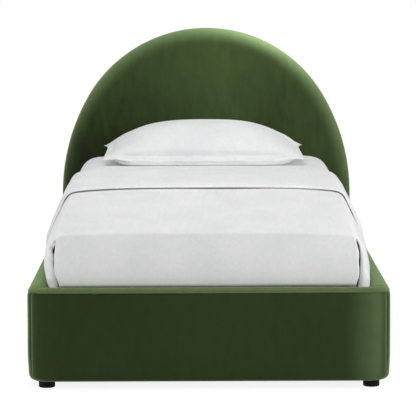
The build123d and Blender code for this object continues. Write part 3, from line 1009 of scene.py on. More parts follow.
@dataclass
class RailCover(SoftPiece):
    """The velvet over one rail: a flat padded face below a domed strip, with seams between."""

    thickness: float = 0.062
    base: float = 0.0225
    seam_height: float = 0.3030
    seam_width: float = 0.0024
    seam_depth: float = 0.0030
    seam_pull: float = 0.014
    dome_rise: float = 0.0110
    edge_round: float = 0.0026
    under_radius: float = 0.020
    hem_ease: float = 0.004
    top_row: float = 0.012
    corner_radius: float = 0.068
    corner_seam: float = 33.0
    corner_seam_reach: float = 2.2
    corner_seam_pull: float = 9.0
    corner_sunk: Span = (0.0006, 0.0012)
    proud: float = 0.0014
    puff: float = 0.0030
    puff_height: float = 0.09
    puff_turned: Span = (0.4, 0.9)
    lap: float = 0.0015
    weld: float = 2e-5
    pad_line: float = 0.945
    pad_fall: float = 0.0045
    pad_fall_length: float = 0.05
    strip_pucker: Ripple = Ripple(30.0, 1.3, 0.0006, (1.0, 1.0, 0.0))
    seam_pucker: Ripple = Ripple(34.0, 1.3, 0.0011, (1.0, 1.0, 0.0))
    seam_pucker_drops: Span = (0.01, 0.05)
    uneven: Ripple = Ripple(6.0, 5.5, 0.0014)
    # Painted highlight: on the domed strip, and at the front corners, much stronger at the right one.
    strip_highlight_rises: Span = (0.0012, 0.0035)
    strip_highlights: Span = (0.16, 0.44)
    strip_highlight_places: Span = (-0.02, 0.03)
    corner_highlights: Span = (0.02, 0.38)
    corner_highlight_reaches: Span = (0.42, 0.53)
    corner_highlight_turns: Span = (22.0, 50.0)
    corner_highlight_start: float = 0.02

    def __post_init__(self) -> None:
        """Reads the centres of the front corners from the frame."""
        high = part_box("foot_rail_cover")[1]
        self.corner_x = high.x - self.corner_radius
        self.corner_y = high.y

    def section(self, mesh: bmesh.types.BMesh, outer: Point, inward: Point) -> list:
        """Draws a rail's cross-section.

        Args:
            mesh: The mesh to draw in.
            outer: The point on the floor below the rail's outer face.
            inward: The direction from the outer face to the inner one.

        Returns:
            The section's edges and vertices.
        """
        start = Vector(outer)
        step = Vector(inward)
        back = tuple(Vector(UP).cross(step))

        def at(depth: float, height: float) -> Triple:
            """Gives a point of the section."""
            return tuple(start + step * depth + Vector((0, 0, height)))

        def run(depth: float, height: float, steps: int = 1) -> Straight:
            """Gives a straight run by a depth and a height."""
            return Straight(tuple(step * depth + Vector((0, 0, height))), steps)

        edge = self.seam_height - self.seam_width
        low_edge = self.seam_height + self.seam_width
        out = self.proud
        bend = self.edge_round
        half = self.thickness / 2 + out - bend
        dome_radius = (half ** 2 + self.dome_rise ** 2) / (2 * self.dome_rise)
        dome_degrees = 2 * math.degrees(math.asin(half / dome_radius))
        dome_centre = at(self.thickness / 2, low_edge + bend + self.dome_rise - dome_radius)
        soft = self.hem_ease
        moves = [
            run(0, edge - self.base - self.under_radius - self.top_row, 15),
            run(0, self.top_row, 3),
            run(self.seam_depth, self.seam_width),
            run(-self.seam_depth - out, self.seam_width),
            Bend(at(bend - out, low_edge), back, 90, 4),
            Bend(dome_centre, back, dome_degrees, 10),
            Bend(at(self.thickness + out - bend, low_edge), back, 90, 4),
            run(-self.seam_depth - out, -self.seam_width),
            run(self.seam_depth, -self.seam_width),
            run(0, -(edge - self.base - soft), 12),
            run(-soft, -soft),
            run(-(self.thickness - soft - self.under_radius), 0, 3),
        ]
        last = trace(mesh, [mesh.verts.new(at(0, self.base + self.under_radius))], moves)
        trace(mesh, last, [Bend(at(self.under_radius, self.base + self.under_radius), back, 90, 7)])
        bmesh.ops.remove_doubles(mesh, verts=mesh.verts, dist=self.weld)
        return mesh.verts[:] + mesh.edges[:]

    def sweep(self, outer: Point, inward: Point, moves: Sequence, name: str, node: str) -> None:
        """Sweeps the section into a closed sleeve, puffs it out and hands it over.

        Args:
            outer: The point on the floor below the section's outer face.
            inward: The direction from that face to the inner one.
            moves: The way along the rail.
            name: The cover's name.
            node: The plain piece that it stands for.
        """
        mesh = bmesh.new()
        trace(mesh, self.section(mesh, outer, inward), moves)
        bmesh.ops.remove_doubles(mesh, verts=mesh.verts, dist=self.weld)
        bmesh.ops.holes_fill(mesh, edges=[e for e in mesh.edges if e.is_boundary], sides=0)
        bmesh.ops.recalc_face_normals(mesh, faces=mesh.faces)
        cover = as_object(mesh, name)
        move_points(cover, self.swell)
        refine(cover, 1)
        # Marks the painted highlight on the velvet.
        mark_painted_light(cover, self.painted_light)
        self.hand_over(cover, Velvet(), "frame", node)

    def past_corner(self, place: Vector) -> Span:
        """Gives how far a place lies beside and in front of a front corner's centre."""
        return abs(place.x) - self.corner_x, self.corner_y - place.y

    def painted_light(self, place: Vector) -> float:
        """Gives the painted highlight: on the domed strip, and at the front corners, stronger at the right
        one.

        Args:
            place: The point.

        Returns:
            The share, from 0 to 1.
        """
        across, along = self.past_corner(place)
        strip = smooth_share(place.z - self.seam_height, *self.strip_highlight_rises)
        strip *= between(*self.strip_highlights, smooth_share(along, *self.strip_highlight_places))
        turn = math.degrees(math.atan2(max(0.0, across), max(1e-6, along)))
        corner = smooth_share(abs(place.x), *self.corner_highlight_reaches)
        corner *= 1 - smooth_share(turn, *self.corner_highlight_turns)
        corner *= smooth_share(along, 0, self.corner_highlight_start) * self.corner_highlights[place.x > 0]
        return max(strip, corner)

    def swell(self, place: Vector, normal: Vector) -> Vector:
        """Puffs out the padded faces and pulls them in at their seams.

        Args:
            place: The point.
            normal: Its outward normal.

        Returns:
            The point's offset.
        """
        drop = self.seam_height - place.z
        across, along = self.past_corner(place)
        from_corner = 1.0
        if across > 0 and along > 0:
            turn = math.degrees(math.atan2(along, across))
            from_corner = 1 - (1 - min(1.0, abs(turn - self.corner_seam) / self.corner_seam_pull)) ** 2
        if drop < 0:
            fall = smooth_share(place.y, self.pad_line - self.pad_fall_length, self.pad_line)
            sunk = (1 - from_corner) * self.corner_sunk[1] + fall * self.pad_fall
            return Vector((0, 0, -sunk)) + normal * self.strip_pucker.at(place)
        side = smooth_share(math.hypot(normal.x, normal.y), *self.puff_turned)
        from_seam = 1 - (1 - min(1.0, drop / self.seam_pull)) ** 2
        from_floor = smooth_share(place.z, self.base, self.base + self.puff_height)
        pucker = self.seam_pucker.at(place) * (1 - smooth_share(drop, *self.seam_pucker_drops))
        belly = from_seam * from_floor * from_corner * (self.puff + pucker + self.uneven.at(place))
        return normal * side * (belly - self.corner_sunk[0] * (1 - from_corner))

    def side(self, hand: Hand) -> None:
        """Builds a side rail's cover.

        Args:
            hand: The rail's side.
        """
        name = hand.name.lower()
        node = f"side_rail_cover_{name}"
        low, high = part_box(node)
        outer = low.x if hand is Hand.LEFT else high.x
        hem = Straight((0, -2 * self.lap, 0))
        moves = [hem, Straight((0, low.y - high.y + 2 * self.lap, 0), 100), hem]
        inward = (-hand.value, 0, 0)
        self.sweep((outer, high.y + self.lap, 0), inward, moves, f"side_rail_velvet_{name}", node)

    def corner(self, x: float) -> list[Bend]:
        """Gives the way round a front corner, from the side, with close steps at its seam.

        Args:
            x: The corner's centre.

        Returns:
            Its three arcs.
        """
        seam = self.corner_seam
        reach = self.corner_seam_reach
        parts = ((seam - reach, 12), (2 * reach, 2), (90 - seam - reach, 15))
        return [Bend((x, self.corner_y, 0), UP, degrees, steps) for degrees, steps in parts]

    def foot(self) -> None:
        """Builds the foot rail's cover, wrapped round both front corners."""
        outer = (-self.corner_x - self.corner_radius, self.corner_y + self.lap, 0)
        moves = [
            Straight((0, -self.lap, 0)),
            *self.corner(-self.corner_x),
            Straight((2 * self.corner_x, 0, 0), 54),
            *reversed(self.corner(self.corner_x)),
            Straight((0, self.lap, 0)),
        ]
        self.sweep(outer, (1, 0, 0), moves, "foot_rail_velvet", "foot_rail_cover")


@dataclass
class MattressShape:
    """The mattress form, which the sheet shares."""

    side_radius: float = 0.068
    corner_radius: float = 0.092
    plain_height: float = 0.10
    sharp_turn: float = 0.6
    aside: float = -0.008
    slope_length: float = 0.760
    foot_drop: float = 0.097
    tuck_room: float = 0.026
    tuck_heights: Span = (0.325, 0.345)
    tuck_reaches: Span = (0.03, 0.12)
    head_room: float = 0.004
    voxel: float = 0.0175

    def form(self, name: str, grow: float) -> bpy.types.Object:
        """Builds the rounded block with its sloping foot half.

        Args:
            name: The object's name.
            grow: How far it stands out from the mattress.

        Returns:
            The object.
        """
        low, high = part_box("mattress")
        low = low - Vector((grow - self.aside, grow, 0))
        high = high + Vector((grow + self.aside, grow - self.head_room, grow))
        mesh = bmesh.new()
        bmesh.ops.create_cube(mesh, size=1.0)
        bmesh.ops.scale(mesh, vec=high - low, verts=mesh.verts)
        bmesh.ops.translate(mesh, vec=(low + high) / 2, verts=mesh.verts)
        slope_end = low.y + self.slope_length
        geometry = mesh.verts[:] + mesh.edges[:] + mesh.faces[:]
        bmesh.ops.bisect_plane(mesh, geom=geometry, plane_co=(0, slope_end, 0), plane_no=(0, 1, 0))
        for vert in mesh.verts:
            if vert.co.z > high.z - WELD and vert.co.y < low.y + WELD:
                vert.co.z -= self.foot_drop
        upright = [e for e in mesh.edges if abs((e.verts[0].co - e.verts[1].co).normalized().z) > 0.9]
        corners = [e for e in upright if abs(e.verts[0].co.y - slope_end) > WELD]
        round_edges(mesh, corners, self.corner_radius + grow, 6)
        upper = [e for e in mesh.edges if min(v.co.z for v in e.verts) > low.z + self.plain_height]
        sharp = [e for e in upper if e.calc_face_angle(0) > self.sharp_turn]
        round_edges(mesh, sharp, self.side_radius + grow, 6)
        form = as_object(mesh, name)
        remesh(form, self.voxel, 7)
        move_points(form, lambda place, _: self.drawn_in(place, low.y))
        return form

    def drawn_in(self, place: Vector, foot: float) -> Vector:
        """Draws in the foot end's lower part, where the bedding is tucked below it.

        Args:
            place: The point.
            foot: The foot end's Y.

        Returns:
            The point's offset.
        """
        lower = 1 - smooth_share(place.z, *self.tuck_heights)
        near = 1 - smooth_share(place.y - foot, *self.tuck_reaches)
        return Vector((0, self.tuck_room * lower * near, 0))


@dataclass
class Mattress(SoftPiece):
    """The mattress and the fitted sheet that is stretched over it."""

    shape: MattressShape
    tuft_turns: float = 52.0
    tuft_sunk: Span = (0.001, 0.0008)
    sheet_gap: float = 0.0012
    sheet_depth: float = 0.0006
    sheet_ease: float = 0.0008
    creases: Ripple = Ripple(9.0, 2.2, 0.0022, (1.0, 3.2, 3.0))
    side_drop: float = 0.33
    hem: float = 0.02

    def build_pad(self) -> None:
        """Builds the mattress."""
        pad = self.shape.form("mattress_pad", 0.0)
        move_points(pad, self.tuft)
        refine(pad, 1)
        self.hand_over(pad, Ticking(), "bedding", "mattress")

    def tuft(self, place: Vector, normal: Vector) -> Vector:
        """Quilts the mattress lightly."""
        waves = math.cos(place.x * self.tuft_turns) * math.cos(place.y * self.tuft_turns)
        return normal * (self.tuft_sunk[1] * waves - self.tuft_sunk[0])

    def build_sheet(self) -> None:
        """Builds the fitted sheet, open below."""
        sheet = self.shape.form("fitted_sheet_cloth", self.sheet_gap)
        low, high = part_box("mattress")
        move_points(sheet, self.crease)
        mesh = bmesh.new()
        mesh.from_mesh(sheet.data)
        below = [f for f in mesh.faces if f.calc_center_median().z < low.z + self.hem]
        bmesh.ops.delete(mesh, geom=[f for f in below if f.normal.z < -0.6], context="FACES")
        mesh.to_mesh(sheet.data)
        mesh.free()
        modify(sheet, "SUBSURF", levels=1, render_levels=1)
        modify(sheet, "SOLIDIFY", thickness=self.sheet_depth, offset=1.0)
        settle(sheet)
        self.hand_over(sheet, Cotton(), "bedding", "fitted_sheet")

    def crease(self, place: Vector, normal: Vector) -> Vector:
        """Pulls soft creases towards the sheet's corners at the head end."""
        return normal * (self.sheet_ease + max(0.0, self.creases.at(place)))


class Part(Enum):
    """The parts of the duvet's net, from its foot to the end that is turned back."""

    PANEL = "panel"
    TOP = "top"
    CUFF = "cuff"


@dataclass(frozen=True)
class Row:
    """A row of the duvet's net: its part, its Y, and its height or how far it lies above the top."""

    part: Part
    y: float
    height: float


@dataclass(frozen=True)
class Knot:
    """A column's place in the duvet's cross-section and its outward direction."""

    x: float
    z: float
    out_x: float
    out_z: float


@dataclass
class Duvet(SoftPiece):
    """The filled duvet: tucked in at the foot and sides, its upper end turned back."""

    thickness: float = 0.0085
    edge_ease: float = 0.0022
    foot_top: float = 0.4840
    head_top: float = 0.5755
    top_sag_share: float = 0.06
    foot_crown: float = 0.006
    head_crown: float = 0.011
    foot_half: float = 0.5075
    head_half: float = 0.541
    aside: float = -0.0085
    aside_rises: Span = (-0.004, 0.059)
    foot_lean: float = 0.026
    head_lean: float = 0.056
    foot_shoulder: float = 0.028
    head_shoulder: float = 0.042
    belly_share: float = 0.62
    side_shares: Triple = (0.28, 0.62, 0.90)
    side_draw: float = 0.05
    lean_power: float = 1.35
    cuff_press: float = 0.007
    cuff_press_places: Span = (-0.07, 0.02)
    swell_end: float = -0.198
    slope_end: float = -0.205
    edge_radius: float = 0.009
    rail_top: float = 0.311
    well_half: float = 0.5055
    well_draw: float = 0.001
    well_share: float = 0.6
    lap_share: float = 0.45
    lap_heights: Span = (0.004, -0.008)
    panel_half: float = 0.4800
    panel_taper: float = 0.0190
    panel_taper_height: float = 0.045
    panel_corner: float = 0.0070
    panel_corner_height: float = 0.085
    panel_shift: float = 0.005
    panel_slack_share: float = 0.4
    panel_turned: float = 0.022
    panel_insets: Triple = (0.012, 0.0, 0.002)
    panel_drop_height: float = 0.40
    panel_drops: Span = (0.024, 0.005)
    panel_heights: tuple[float, ...] = (0.301, 0.310, 0.3150, 0.3195, 0.326, 0.345, 0.370, 0.395, 0.422)
    panel_wave: Ripple = Ripple(34.0, 4.0, 0.0060)
    wrap_wave: Ripple = Ripple(46.0, 14.0, 0.0070)
    wrap_reaches: Triple = (0.0010, 0.0060, 0.0010)
    wrap_depths: Triple = (0.030, 0.0020, 0.011)
    wrap_ease: float = 0.002
    wrap_columns: Span = (-1.0, 1.5)
    tuck_depth: float = 0.022
    tuck_heights: Span = (-0.006, 0.0115)
    edge_turns: Triple = (15.0, 45.0, 75.0)
    foot_margin: float = 0.010
    foot_steps: tuple[float, ...] = (0.0, 0.018, 0.040, 0.075)
    head_start: float = 0.13
    head_rows: int = 15
    head_margin: float = 0.030
    fold_turns: Triple = (30.0, 90.0, 150.0)
    cuff_y: float = -0.356
    cuff_gap: float = 0.0024
    lip_lift: float = 0.0046
    lip_shares: Span = (0.8, 0.98)
    lip_ease: float = 0.008
    lip_edges: Span = (0.0045, 0.0040)
    lip_turned_share: float = 0.6
    lip_gap: float = 0.0030
    cuff_shares: tuple[float, ...] = (0.06, 0.25, 0.45, 0.65, 0.82, 0.93, 0.98, 1.0)
    top_columns: int = 9
    top_column_power: float = 0.85
    top_squareness: float = 4.0
    shoulder_turns: tuple[float, ...] = (8.0, 32.5, 57.0, 81.5)
    bare_columns: int = 3
    open_top: Span = (-0.7, -0.5)
    sharp_degrees: float = 55.0
    broad: Ripple = Ripple(4.2, 6.0, 0.0022, (1.0, 0.6, 1.0))
    long_folds: Ripple = Ripple(6.5, 9.0, 0.0012, (0.5, 2.0, 0.8))
    side_creases: Ripple = Ripple(15.0, 12.0, 0.0026, (1.0, 2.6, 1.6))
    side_reaches: Span = (0.44, 0.50)
    gathers: Ripple = Ripple(24.0, 3.0, 0.0060, (1.0, 0.6, 2.0))
    gather_reaches: Span = (0.484, 0.497)
    gather_places: Span = (0.03, 0.14)
    gather_heights: Span = (0.31, 0.34)

    def __post_init__(self) -> None:
        """Reads the duvet's place from the frame."""
        low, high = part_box("duvet")
        self.front = low.y
        self.back = high.y
        self.base = low.z
        self.panel_column = self.top_columns + len(self.shoulder_turns) - 1

    def top_height(self, y: float) -> float:
        """Gives the height of the duvet's middle line at a Y.

        Args:
            y: Where it is taken.

        Returns:
            The height.
        """
        share = share_of(y, self.front, self.slope_end)
        eased = share - self.top_sag_share * math.sin(2 * math.pi * share) / (2 * math.pi)
        return between(self.foot_top, self.head_top, eased)

    def profile(self, y: float) -> list[Knot]:
        """Gives half a cross-section from the middle to the tucked edge.

        Args:
            y: Where it is taken.

        Returns:
            The knot of each column.
        """
        grown = 1 - (1 - share_of(y, self.front, self.swell_end)) ** 3
        pressed = smooth_share(y - self.cuff_y, *self.cuff_press_places) * self.cuff_press
        half = between(self.foot_half, self.head_half, grown) - pressed
        lean = between(self.foot_lean, self.head_lean, grown)
        shoulder = between(self.foot_shoulder, self.head_shoulder, grown)
        crown = between(self.foot_crown, self.head_crown, grown)
        flat = half - lean - shoulder
        top = self.top_height(y) + self.foot_crown - crown
        knots = []
        for i in range(self.top_columns):
            share = (i / self.top_columns) ** self.top_column_power
            knots.append(Knot(flat * share, top + crown * dome(share, self.top_squareness, 1), 0.0, 1.0))
        for turn in map(math.radians, self.shoulder_turns):
            sine, cosine = math.sin(turn), math.cos(turn)
            knots.append(Knot(flat + shoulder * sine, top - shoulder * (1 - cosine), sine, cosine))
        fall = top - shoulder - self.rail_top
        for share in self.side_shares:
            above = max(0.0, 1 - share / self.belly_share)
            below = max(0.0, share - self.belly_share)
            x = half - lean * above ** self.lean_power - self.side_draw * below ** 2
            knots.append(Knot(x, top - shoulder - fall * share, 1.0, 0.0))
        well = self.well_half
        lap, under_lap = (self.rail_top + height for height in self.lap_heights)
        low = between(self.rail_top, self.base, self.well_share)
        return knots + [
            Knot(between(half, well, self.lap_share), lap, 0.8, -0.6),
            Knot(well, under_lap, 1.0, 0.0),
            Knot(well - self.well_draw, low, 1.0, 0.0),
            Knot(well - 2 * self.well_draw, self.base, 1.0, 0.0),
        ]

    def rows(self) -> list[Row]:
        """Gives the rows of the net, from the tucked foot to the turned-back lip.

        Returns:
            The rows in order.
        """
        made = []
        radius = self.edge_radius
        corner = self.foot_top - radius
        for z in (self.base, *self.panel_heights, *(corner - drop for drop in self.panel_drops)):
            tucked = 1 - smooth_share(z - self.rail_top, *self.tuck_heights)
            made.append(Row(Part.PANEL, self.front + self.tuck_depth * tucked, z))
        for turn in map(math.radians, self.edge_turns):
            y = self.front + radius * (1 - math.cos(turn))
            made.append(Row(Part.PANEL, y, corner + radius * math.sin(turn)))
        first = self.front + radius + self.foot_margin
        made += [Row(Part.TOP, first + step, 0.0) for step in self.foot_steps]
        end = self.back - self.thickness - self.head_margin
        for i in range(self.head_rows + 1):
            made.append(Row(Part.TOP, between(first + self.head_start, end, i / self.head_rows), 0.0))
        centre = self.back - self.thickness - self.cuff_gap
        for turn in map(math.radians, self.fold_turns):
            y = centre + self.cuff_gap / 2 * math.sin(turn)
            made.append(Row(Part.CUFF, y, self.cuff_gap / 2 * (1 - math.cos(turn))))
        for share in self.cuff_shares:
            lift = self.cuff_gap + self.lip_lift * smooth_share(share, *self.lip_shares)
            made.append(Row(Part.CUFF, between(centre, self.cuff_y + self.lip_ease, share), lift))
        turned = self.cuff_gap + self.lip_lift * self.lip_turned_share
        for edge, lift in zip(self.lip_edges, (turned, self.lip_gap)):
            made.append(Row(Part.CUFF, self.cuff_y + edge, lift))
        return made

    def panel_edge(self, z: float, hand: int) -> float:
        """Gives the foot panel's half width at a height, with its uneven edge.

        Args:
            z: The height.
            hand: -1 for the left edge and 1 for the right one.

        Returns:
            The half width.
        """
        low = 1 - smooth_share(z - self.rail_top, 0, self.panel_taper_height)
        high = smooth_share(z - self.foot_top, -self.panel_corner_height, 0)
        drawn = self.panel_taper * low + self.panel_corner * high
        shift = self.panel_shift - drawn if hand > 0 else -self.panel_slack_share * drawn
        return self.panel_half + shift + self.panel_wave.at((0, 0, z), hand)

    def wrapped(self, place: Vector, steps: int, column: int) -> Vector:
        """Turns the side flap's front edge in behind the foot panel.

        Args:
            place: The knot's place before it is turned in.
            steps: Its row, counted from the first row of the top.
            column: Its column, counted from the middle line.

        Returns:
            The place in the fold.
        """
        depth = smooth_share(column - self.panel_column, *self.wrap_columns)
        if steps == len(self.wrap_reaches):
            return place + Vector((self.wrap_ease * depth, 0, 0))
        hand = -1 if place.x < 0 else 1
        panel = self.panel_edge(place.z, hand)
        turned_x = (panel, panel, self.foot_half)[steps] + self.wrap_reaches[steps]
        turned_y = self.front + self.wrap_depths[steps]
        wave = self.wrap_wave.at((0, 0, place.z), hand)
        x = between(abs(place.x), turned_x + wave, depth)
        return Vector((math.copysign(x, place.x), between(place.y, turned_y, depth), place.z))

    def place(self, row: Row, steps: int, column: int) -> Vector:
        """Gives where a knot of the net lies.

        Args:
            row: The knot's row.
            steps: That row's number, counted from the first row of the top.
            column: The knot's column, counted from the middle line.

        Returns:
            The place.
        """
        hand = -1 if column < 0 else 1
        column = abs(column)
        profile = self.profile(self.front if row.part is Part.PANEL else row.y)
        knot = profile[column]
        if row.part is Part.PANEL:
            inner = min(column, self.panel_column)
            drop = self.foot_top - profile[inner].z
            x = panel = self.panel_edge(row.height, hand)
            if inner >= self.panel_column - 2:
                x -= self.panel_insets[inner - self.panel_column + 2]
            else:
                x = min(knot.x, panel)
            y = row.y + (self.panel_turned if column >= self.panel_column else 0)
            z = row.height - drop * smooth_share(row.height, self.panel_drop_height, self.foot_top)
            return Vector((hand * x, y, z))
        lift = row.height if row.part is Part.CUFF else 0
        place = Vector((hand * (knot.x + knot.out_x * lift), row.y, knot.z + knot.out_z * lift))
        if steps <= len(self.wrap_reaches) and column >= self.panel_column - 1:
            return self.wrapped(place, steps, column)
        return place

    def askew(self, place: Vector) -> Vector:
        """Moves the part above the rails a little to the side, as it was laid."""
        raised = smooth_share(place.z - self.rail_top, *self.aside_rises)
        return place + Vector((self.aside * raised, 0, 0))

    def build(self) -> None:
        """Builds the duvet."""
        rows = self.rows()
        first_top = [row.part for row in rows].index(Part.TOP)
        last_row = len(rows) - 1
        last_column = len(self.profile(0.0)) - 1
        mesh = bmesh.new()
        bmesh.ops.create_grid(mesh, x_segments=2 * last_column, y_segments=last_row, size=1.0)
        doomed = []
        for face in mesh.faces:
            centre = face.calc_center_median()
            column = abs(centre.x) * last_column
            row = int((centre.y + 1) / 2 * last_row)
            beside_panel = row < first_top and column > self.panel_column
            below_cuff = rows[row + 1].part is Part.CUFF and column > last_column - self.bare_columns
            if beside_panel or below_cuff:
                doomed.append(face)
        for vert in mesh.verts:
            column = round(vert.co.x * last_column)
            row = round((vert.co.y + 1) / 2 * last_row)
            vert.co = self.askew(self.place(rows[row], row - first_top, column))
        bmesh.ops.delete(mesh, geom=doomed, context="FACES")
        bmesh.ops.recalc_face_normals(mesh, faces=mesh.faces)
        near, far = self.open_top
        if sum(f.normal.z for f in mesh.faces if near < f.calc_center_median().y < far) < 0:
            bmesh.ops.reverse_faces(mesh, faces=mesh.faces)
        cover = as_object(mesh, "duvet_filled")
        refine(cover, 2)
        move_points(cover, self.crumple)
        modify(cover, "SOLIDIFY", thickness=self.thickness, offset=-1.0, use_even_offset=False)
        sharp = {"limit_method": "ANGLE", "angle_limit": math.radians(self.sharp_degrees)}
        modify(cover, "BEVEL", width=self.edge_ease, segments=2, **sharp)
        settle(cover)
        self.hand_over(cover, Cotton(), "bedding", "duvet")

    def crumple(self, place: Vector, normal: Vector) -> Vector:
        """Gives the cloth its soft unevenness and the side flaps their small creases.

        Args:
            place: The point.
            normal: Its outward normal.

        Returns:
            The point's offset.
        """
        side = smooth_share(abs(place.x), *self.side_reaches)
        gathered = self.gathers.at(place) * smooth_share(abs(place.x), *self.gather_reaches)
        gathered *= 1 - smooth_share(place.y - self.front, *self.gather_places)
        gathered *= smooth_share(place.z, *self.gather_heights)
        broad = self.broad.at(place) + self.long_folds.at(place)
        return normal * (broad + self.side_creases.at(place) * side + gathered)


@dataclass
class Pillow(SoftPiece):
    """The pillow in its case: a full body with drawn-in sides and a flat flange."""

    flange: float = 0.024
    thickness: float = 0.154
    top_share: float = 0.70
    draws: Span = (0.008, 0.0056)
    far_reach: float = 0.995
    far_shares: Span = (0.1, 0.75)
    middle_power: float = 8.0
    near_sag: float = 0.013
    near_shares: Span = (0.2, 1.0)
    flange_droop: float = 0.019
    far_droop_share: float = 0.4
    flange_wave: float = 0.0016
    flange_turns: Span = (21.0, 1.0)
    rim: float = 0.0030
    rim_share: float = 0.8
    ear_reach: float = 0.016
    ear_drop: float = 0.006
    ear_shares: Span = (0.80, 0.70)
    top_domes: tuple[Span, Span] = ((3.0, 0.82), (3.0, 0.60))
    low_domes: tuple[Span, Span] = ((10.0, 0.6), (9.0, 0.75))
    stitch_width: float = 0.003
    stitch_depth: float = 0.005
    stitch_drop: float = 0.0015
    corner_sag: float = 0.70
    aside: float = -0.012
    overhang: float = 0.010
    overhang_shares: Span = (0.6, 0.95)
    overhang_full: float = 0.22
    overhang_power: float = 4.0
    belly: float = 0.034
    belly_shares: Span = (0.5, 0.85)
    belly_full: float = 0.5
    belly_power: float = 14.0
    columns: int = 56
    rows: int = 40
    gathers: Span = (1.3, 2.0)
    flange_rows: int = 4
    rest_height: float = 0.004
    folds: Ripple = Ripple(22.0, 7.7, 0.0030, (1.0, 1.0, 0.4))
    fold_shares: Span = (0.45, 0.9)
    broad: Ripple = Ripple(6.0, 2.9, 0.0030)

    def __post_init__(self) -> None:
        """Reads the pillow's place from the frame."""
        low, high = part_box("pillow")
        self.middle = (low + high) / 2
        self.half_x = (high.x - low.x) / 2
        self.half_y = (high.y - low.y) / 2
        self.floor = low.z

    def build(self) -> None:
        """Builds the pillow."""
        mesh = bmesh.new()
        bmesh.ops.create_grid(mesh, x_segments=self.columns, y_segments=self.rows, size=1.0)
        copy = bmesh.ops.duplicate(mesh, geom=mesh.verts[:] + mesh.edges[:] + mesh.faces[:])
        lower = set(only_verts(copy))
        for vert in mesh.verts:
            vert.co = self.place(vert.co.x, vert.co.y, vert in lower)
        bmesh.ops.remove_doubles(mesh, verts=mesh.verts, dist=WELD)
        bmesh.ops.recalc_face_normals(mesh, faces=mesh.faces)
        pillow = as_object(mesh, "pillow_in_case")
        move_points(pillow, self.crumple)
        refine(pillow, 1)
        self.hand_over(pillow, Cotton(), "loose_pillow", "pillow")

    def place(self, across: float, along: float, lower: bool) -> Vector:
        """Gives a point of the case.

        Args:
            across: From -1 to 1 over the width.
            along: From -1 at the near edge to 1 at the far one.
            lower: Whether it is on the underside.

        Returns:
            The place.
        """
        seam_u = 1 - self.flange / self.half_x
        seam_v = 1 - self.flange / self.half_y
        u = self.spread(across, seam_u, self.columns, self.gathers[0])
        v = self.spread(along, seam_v, self.rows, self.gathers[1])
        x = u * (self.half_x - self.draws[0] * (1 - v * v))
        y = v * (self.half_y - self.draws[1] * (1 - u * u))
        body_u = between(seam_u, self.far_reach, smooth_share(v, *self.far_shares))
        inner_u = min(1.0, abs(u) / body_u)
        inner_v = min(1.0, abs(v) / seam_v)
        middle = 1 - abs(u) ** self.middle_power
        sagging = max(middle, self.corner_sag)
        over_v = max(0.0, (abs(v) - seam_v) / (1 - seam_v))
        beyond = max(0.0, (abs(u) - seam_u) / (1 - seam_u), over_v)
        ear = smooth_share(abs(u), self.ear_shares[0], 1) * smooth_share(v, self.ear_shares[1], 1)
        wave = math.sin(u * self.flange_turns[0] + self.flange_turns[1])
        seam = self.floor + self.thickness * (1 - self.top_share)
        seam -= self.near_sag * smooth_share(-v, *self.near_shares) * sagging
        seam -= self.flange_droop * over_v * (sagging if v < 0 else self.far_droop_share * middle)
        seam += self.flange_wave * wave * beyond - self.ear_drop * ear
        x += math.copysign(self.ear_reach * ear, u)
        rim = self.rim * (1 - smooth_share(beyond, self.rim_share, 1))
        if lower:
            fall = dome(inner_u, *self.low_domes[0]) * dome(inner_v, *self.low_domes[1])
            z = seam - rim - self.thickness * (1 - self.top_share) * fall
            z = min(max(z, self.floor), seam - rim)
            if v < 0:
                ahead = smooth_share(fall, 0, self.belly_full) * smooth_share(inner_v, *self.belly_shares)
                y -= self.belly * dome(inner_u, self.belly_power, 1) * ahead
        else:
            stitched = max(0.0, 1 - abs(v + seam_v) * self.half_y / self.stitch_width) * middle
            fullness = dome(inner_u, *self.top_domes[0]) * dome(inner_v, *self.top_domes[1])
            z = seam + rim + self.thickness * self.top_share * fullness - self.stitch_drop * stitched
            y += self.stitch_depth * stitched
            if v < 0:
                bulge = smooth_share(fullness, 0, self.overhang_full)
                bulge *= smooth_share(inner_v, *self.overhang_shares)
                y -= self.overhang * dome(inner_u, self.overhang_power, 1) * bulge
        return Vector((self.middle.x + self.aside + x, self.middle.y + y, z))

    def spread(self, share: float, seam: float, steps: int, gather: float) -> float:
        """Spaces the net so that one of its lines lies on the flange's seam.

        Args:
            share: The even spacing, from -1 to 1.
            seam: Where the seam lies.
            steps: How many steps the net has.
            gather: How strongly its lines gather at the seam.

        Returns:
            The new spacing.
        """
        line = 1 - 2 * self.flange_rows / steps
        if abs(share) > line:
            return math.copysign(between(seam, 1.0, (abs(share) - line) / (1 - line)), share)
        return math.copysign(seam * (1 - max(0.0, 1 - abs(share) / line) ** gather), share)

    def crumple(self, place: Vector, normal: Vector) -> Vector:
        """Gathers small creases at the seam and lets the rest stay plump.

        Args:
            place: The point.
            normal: Its outward normal.

        Returns:
            The point's offset.
        """
        x = abs(place.x - self.middle.x) / self.half_x
        y = abs(place.y - self.middle.y) / self.half_y
        edge = smooth_share(max(x, y), *self.fold_shares)
        above = 1.0 if place.z > self.floor + self.rest_height else 0.0
        return normal * (self.folds.at(place) * edge + self.broad.at(place)) * above


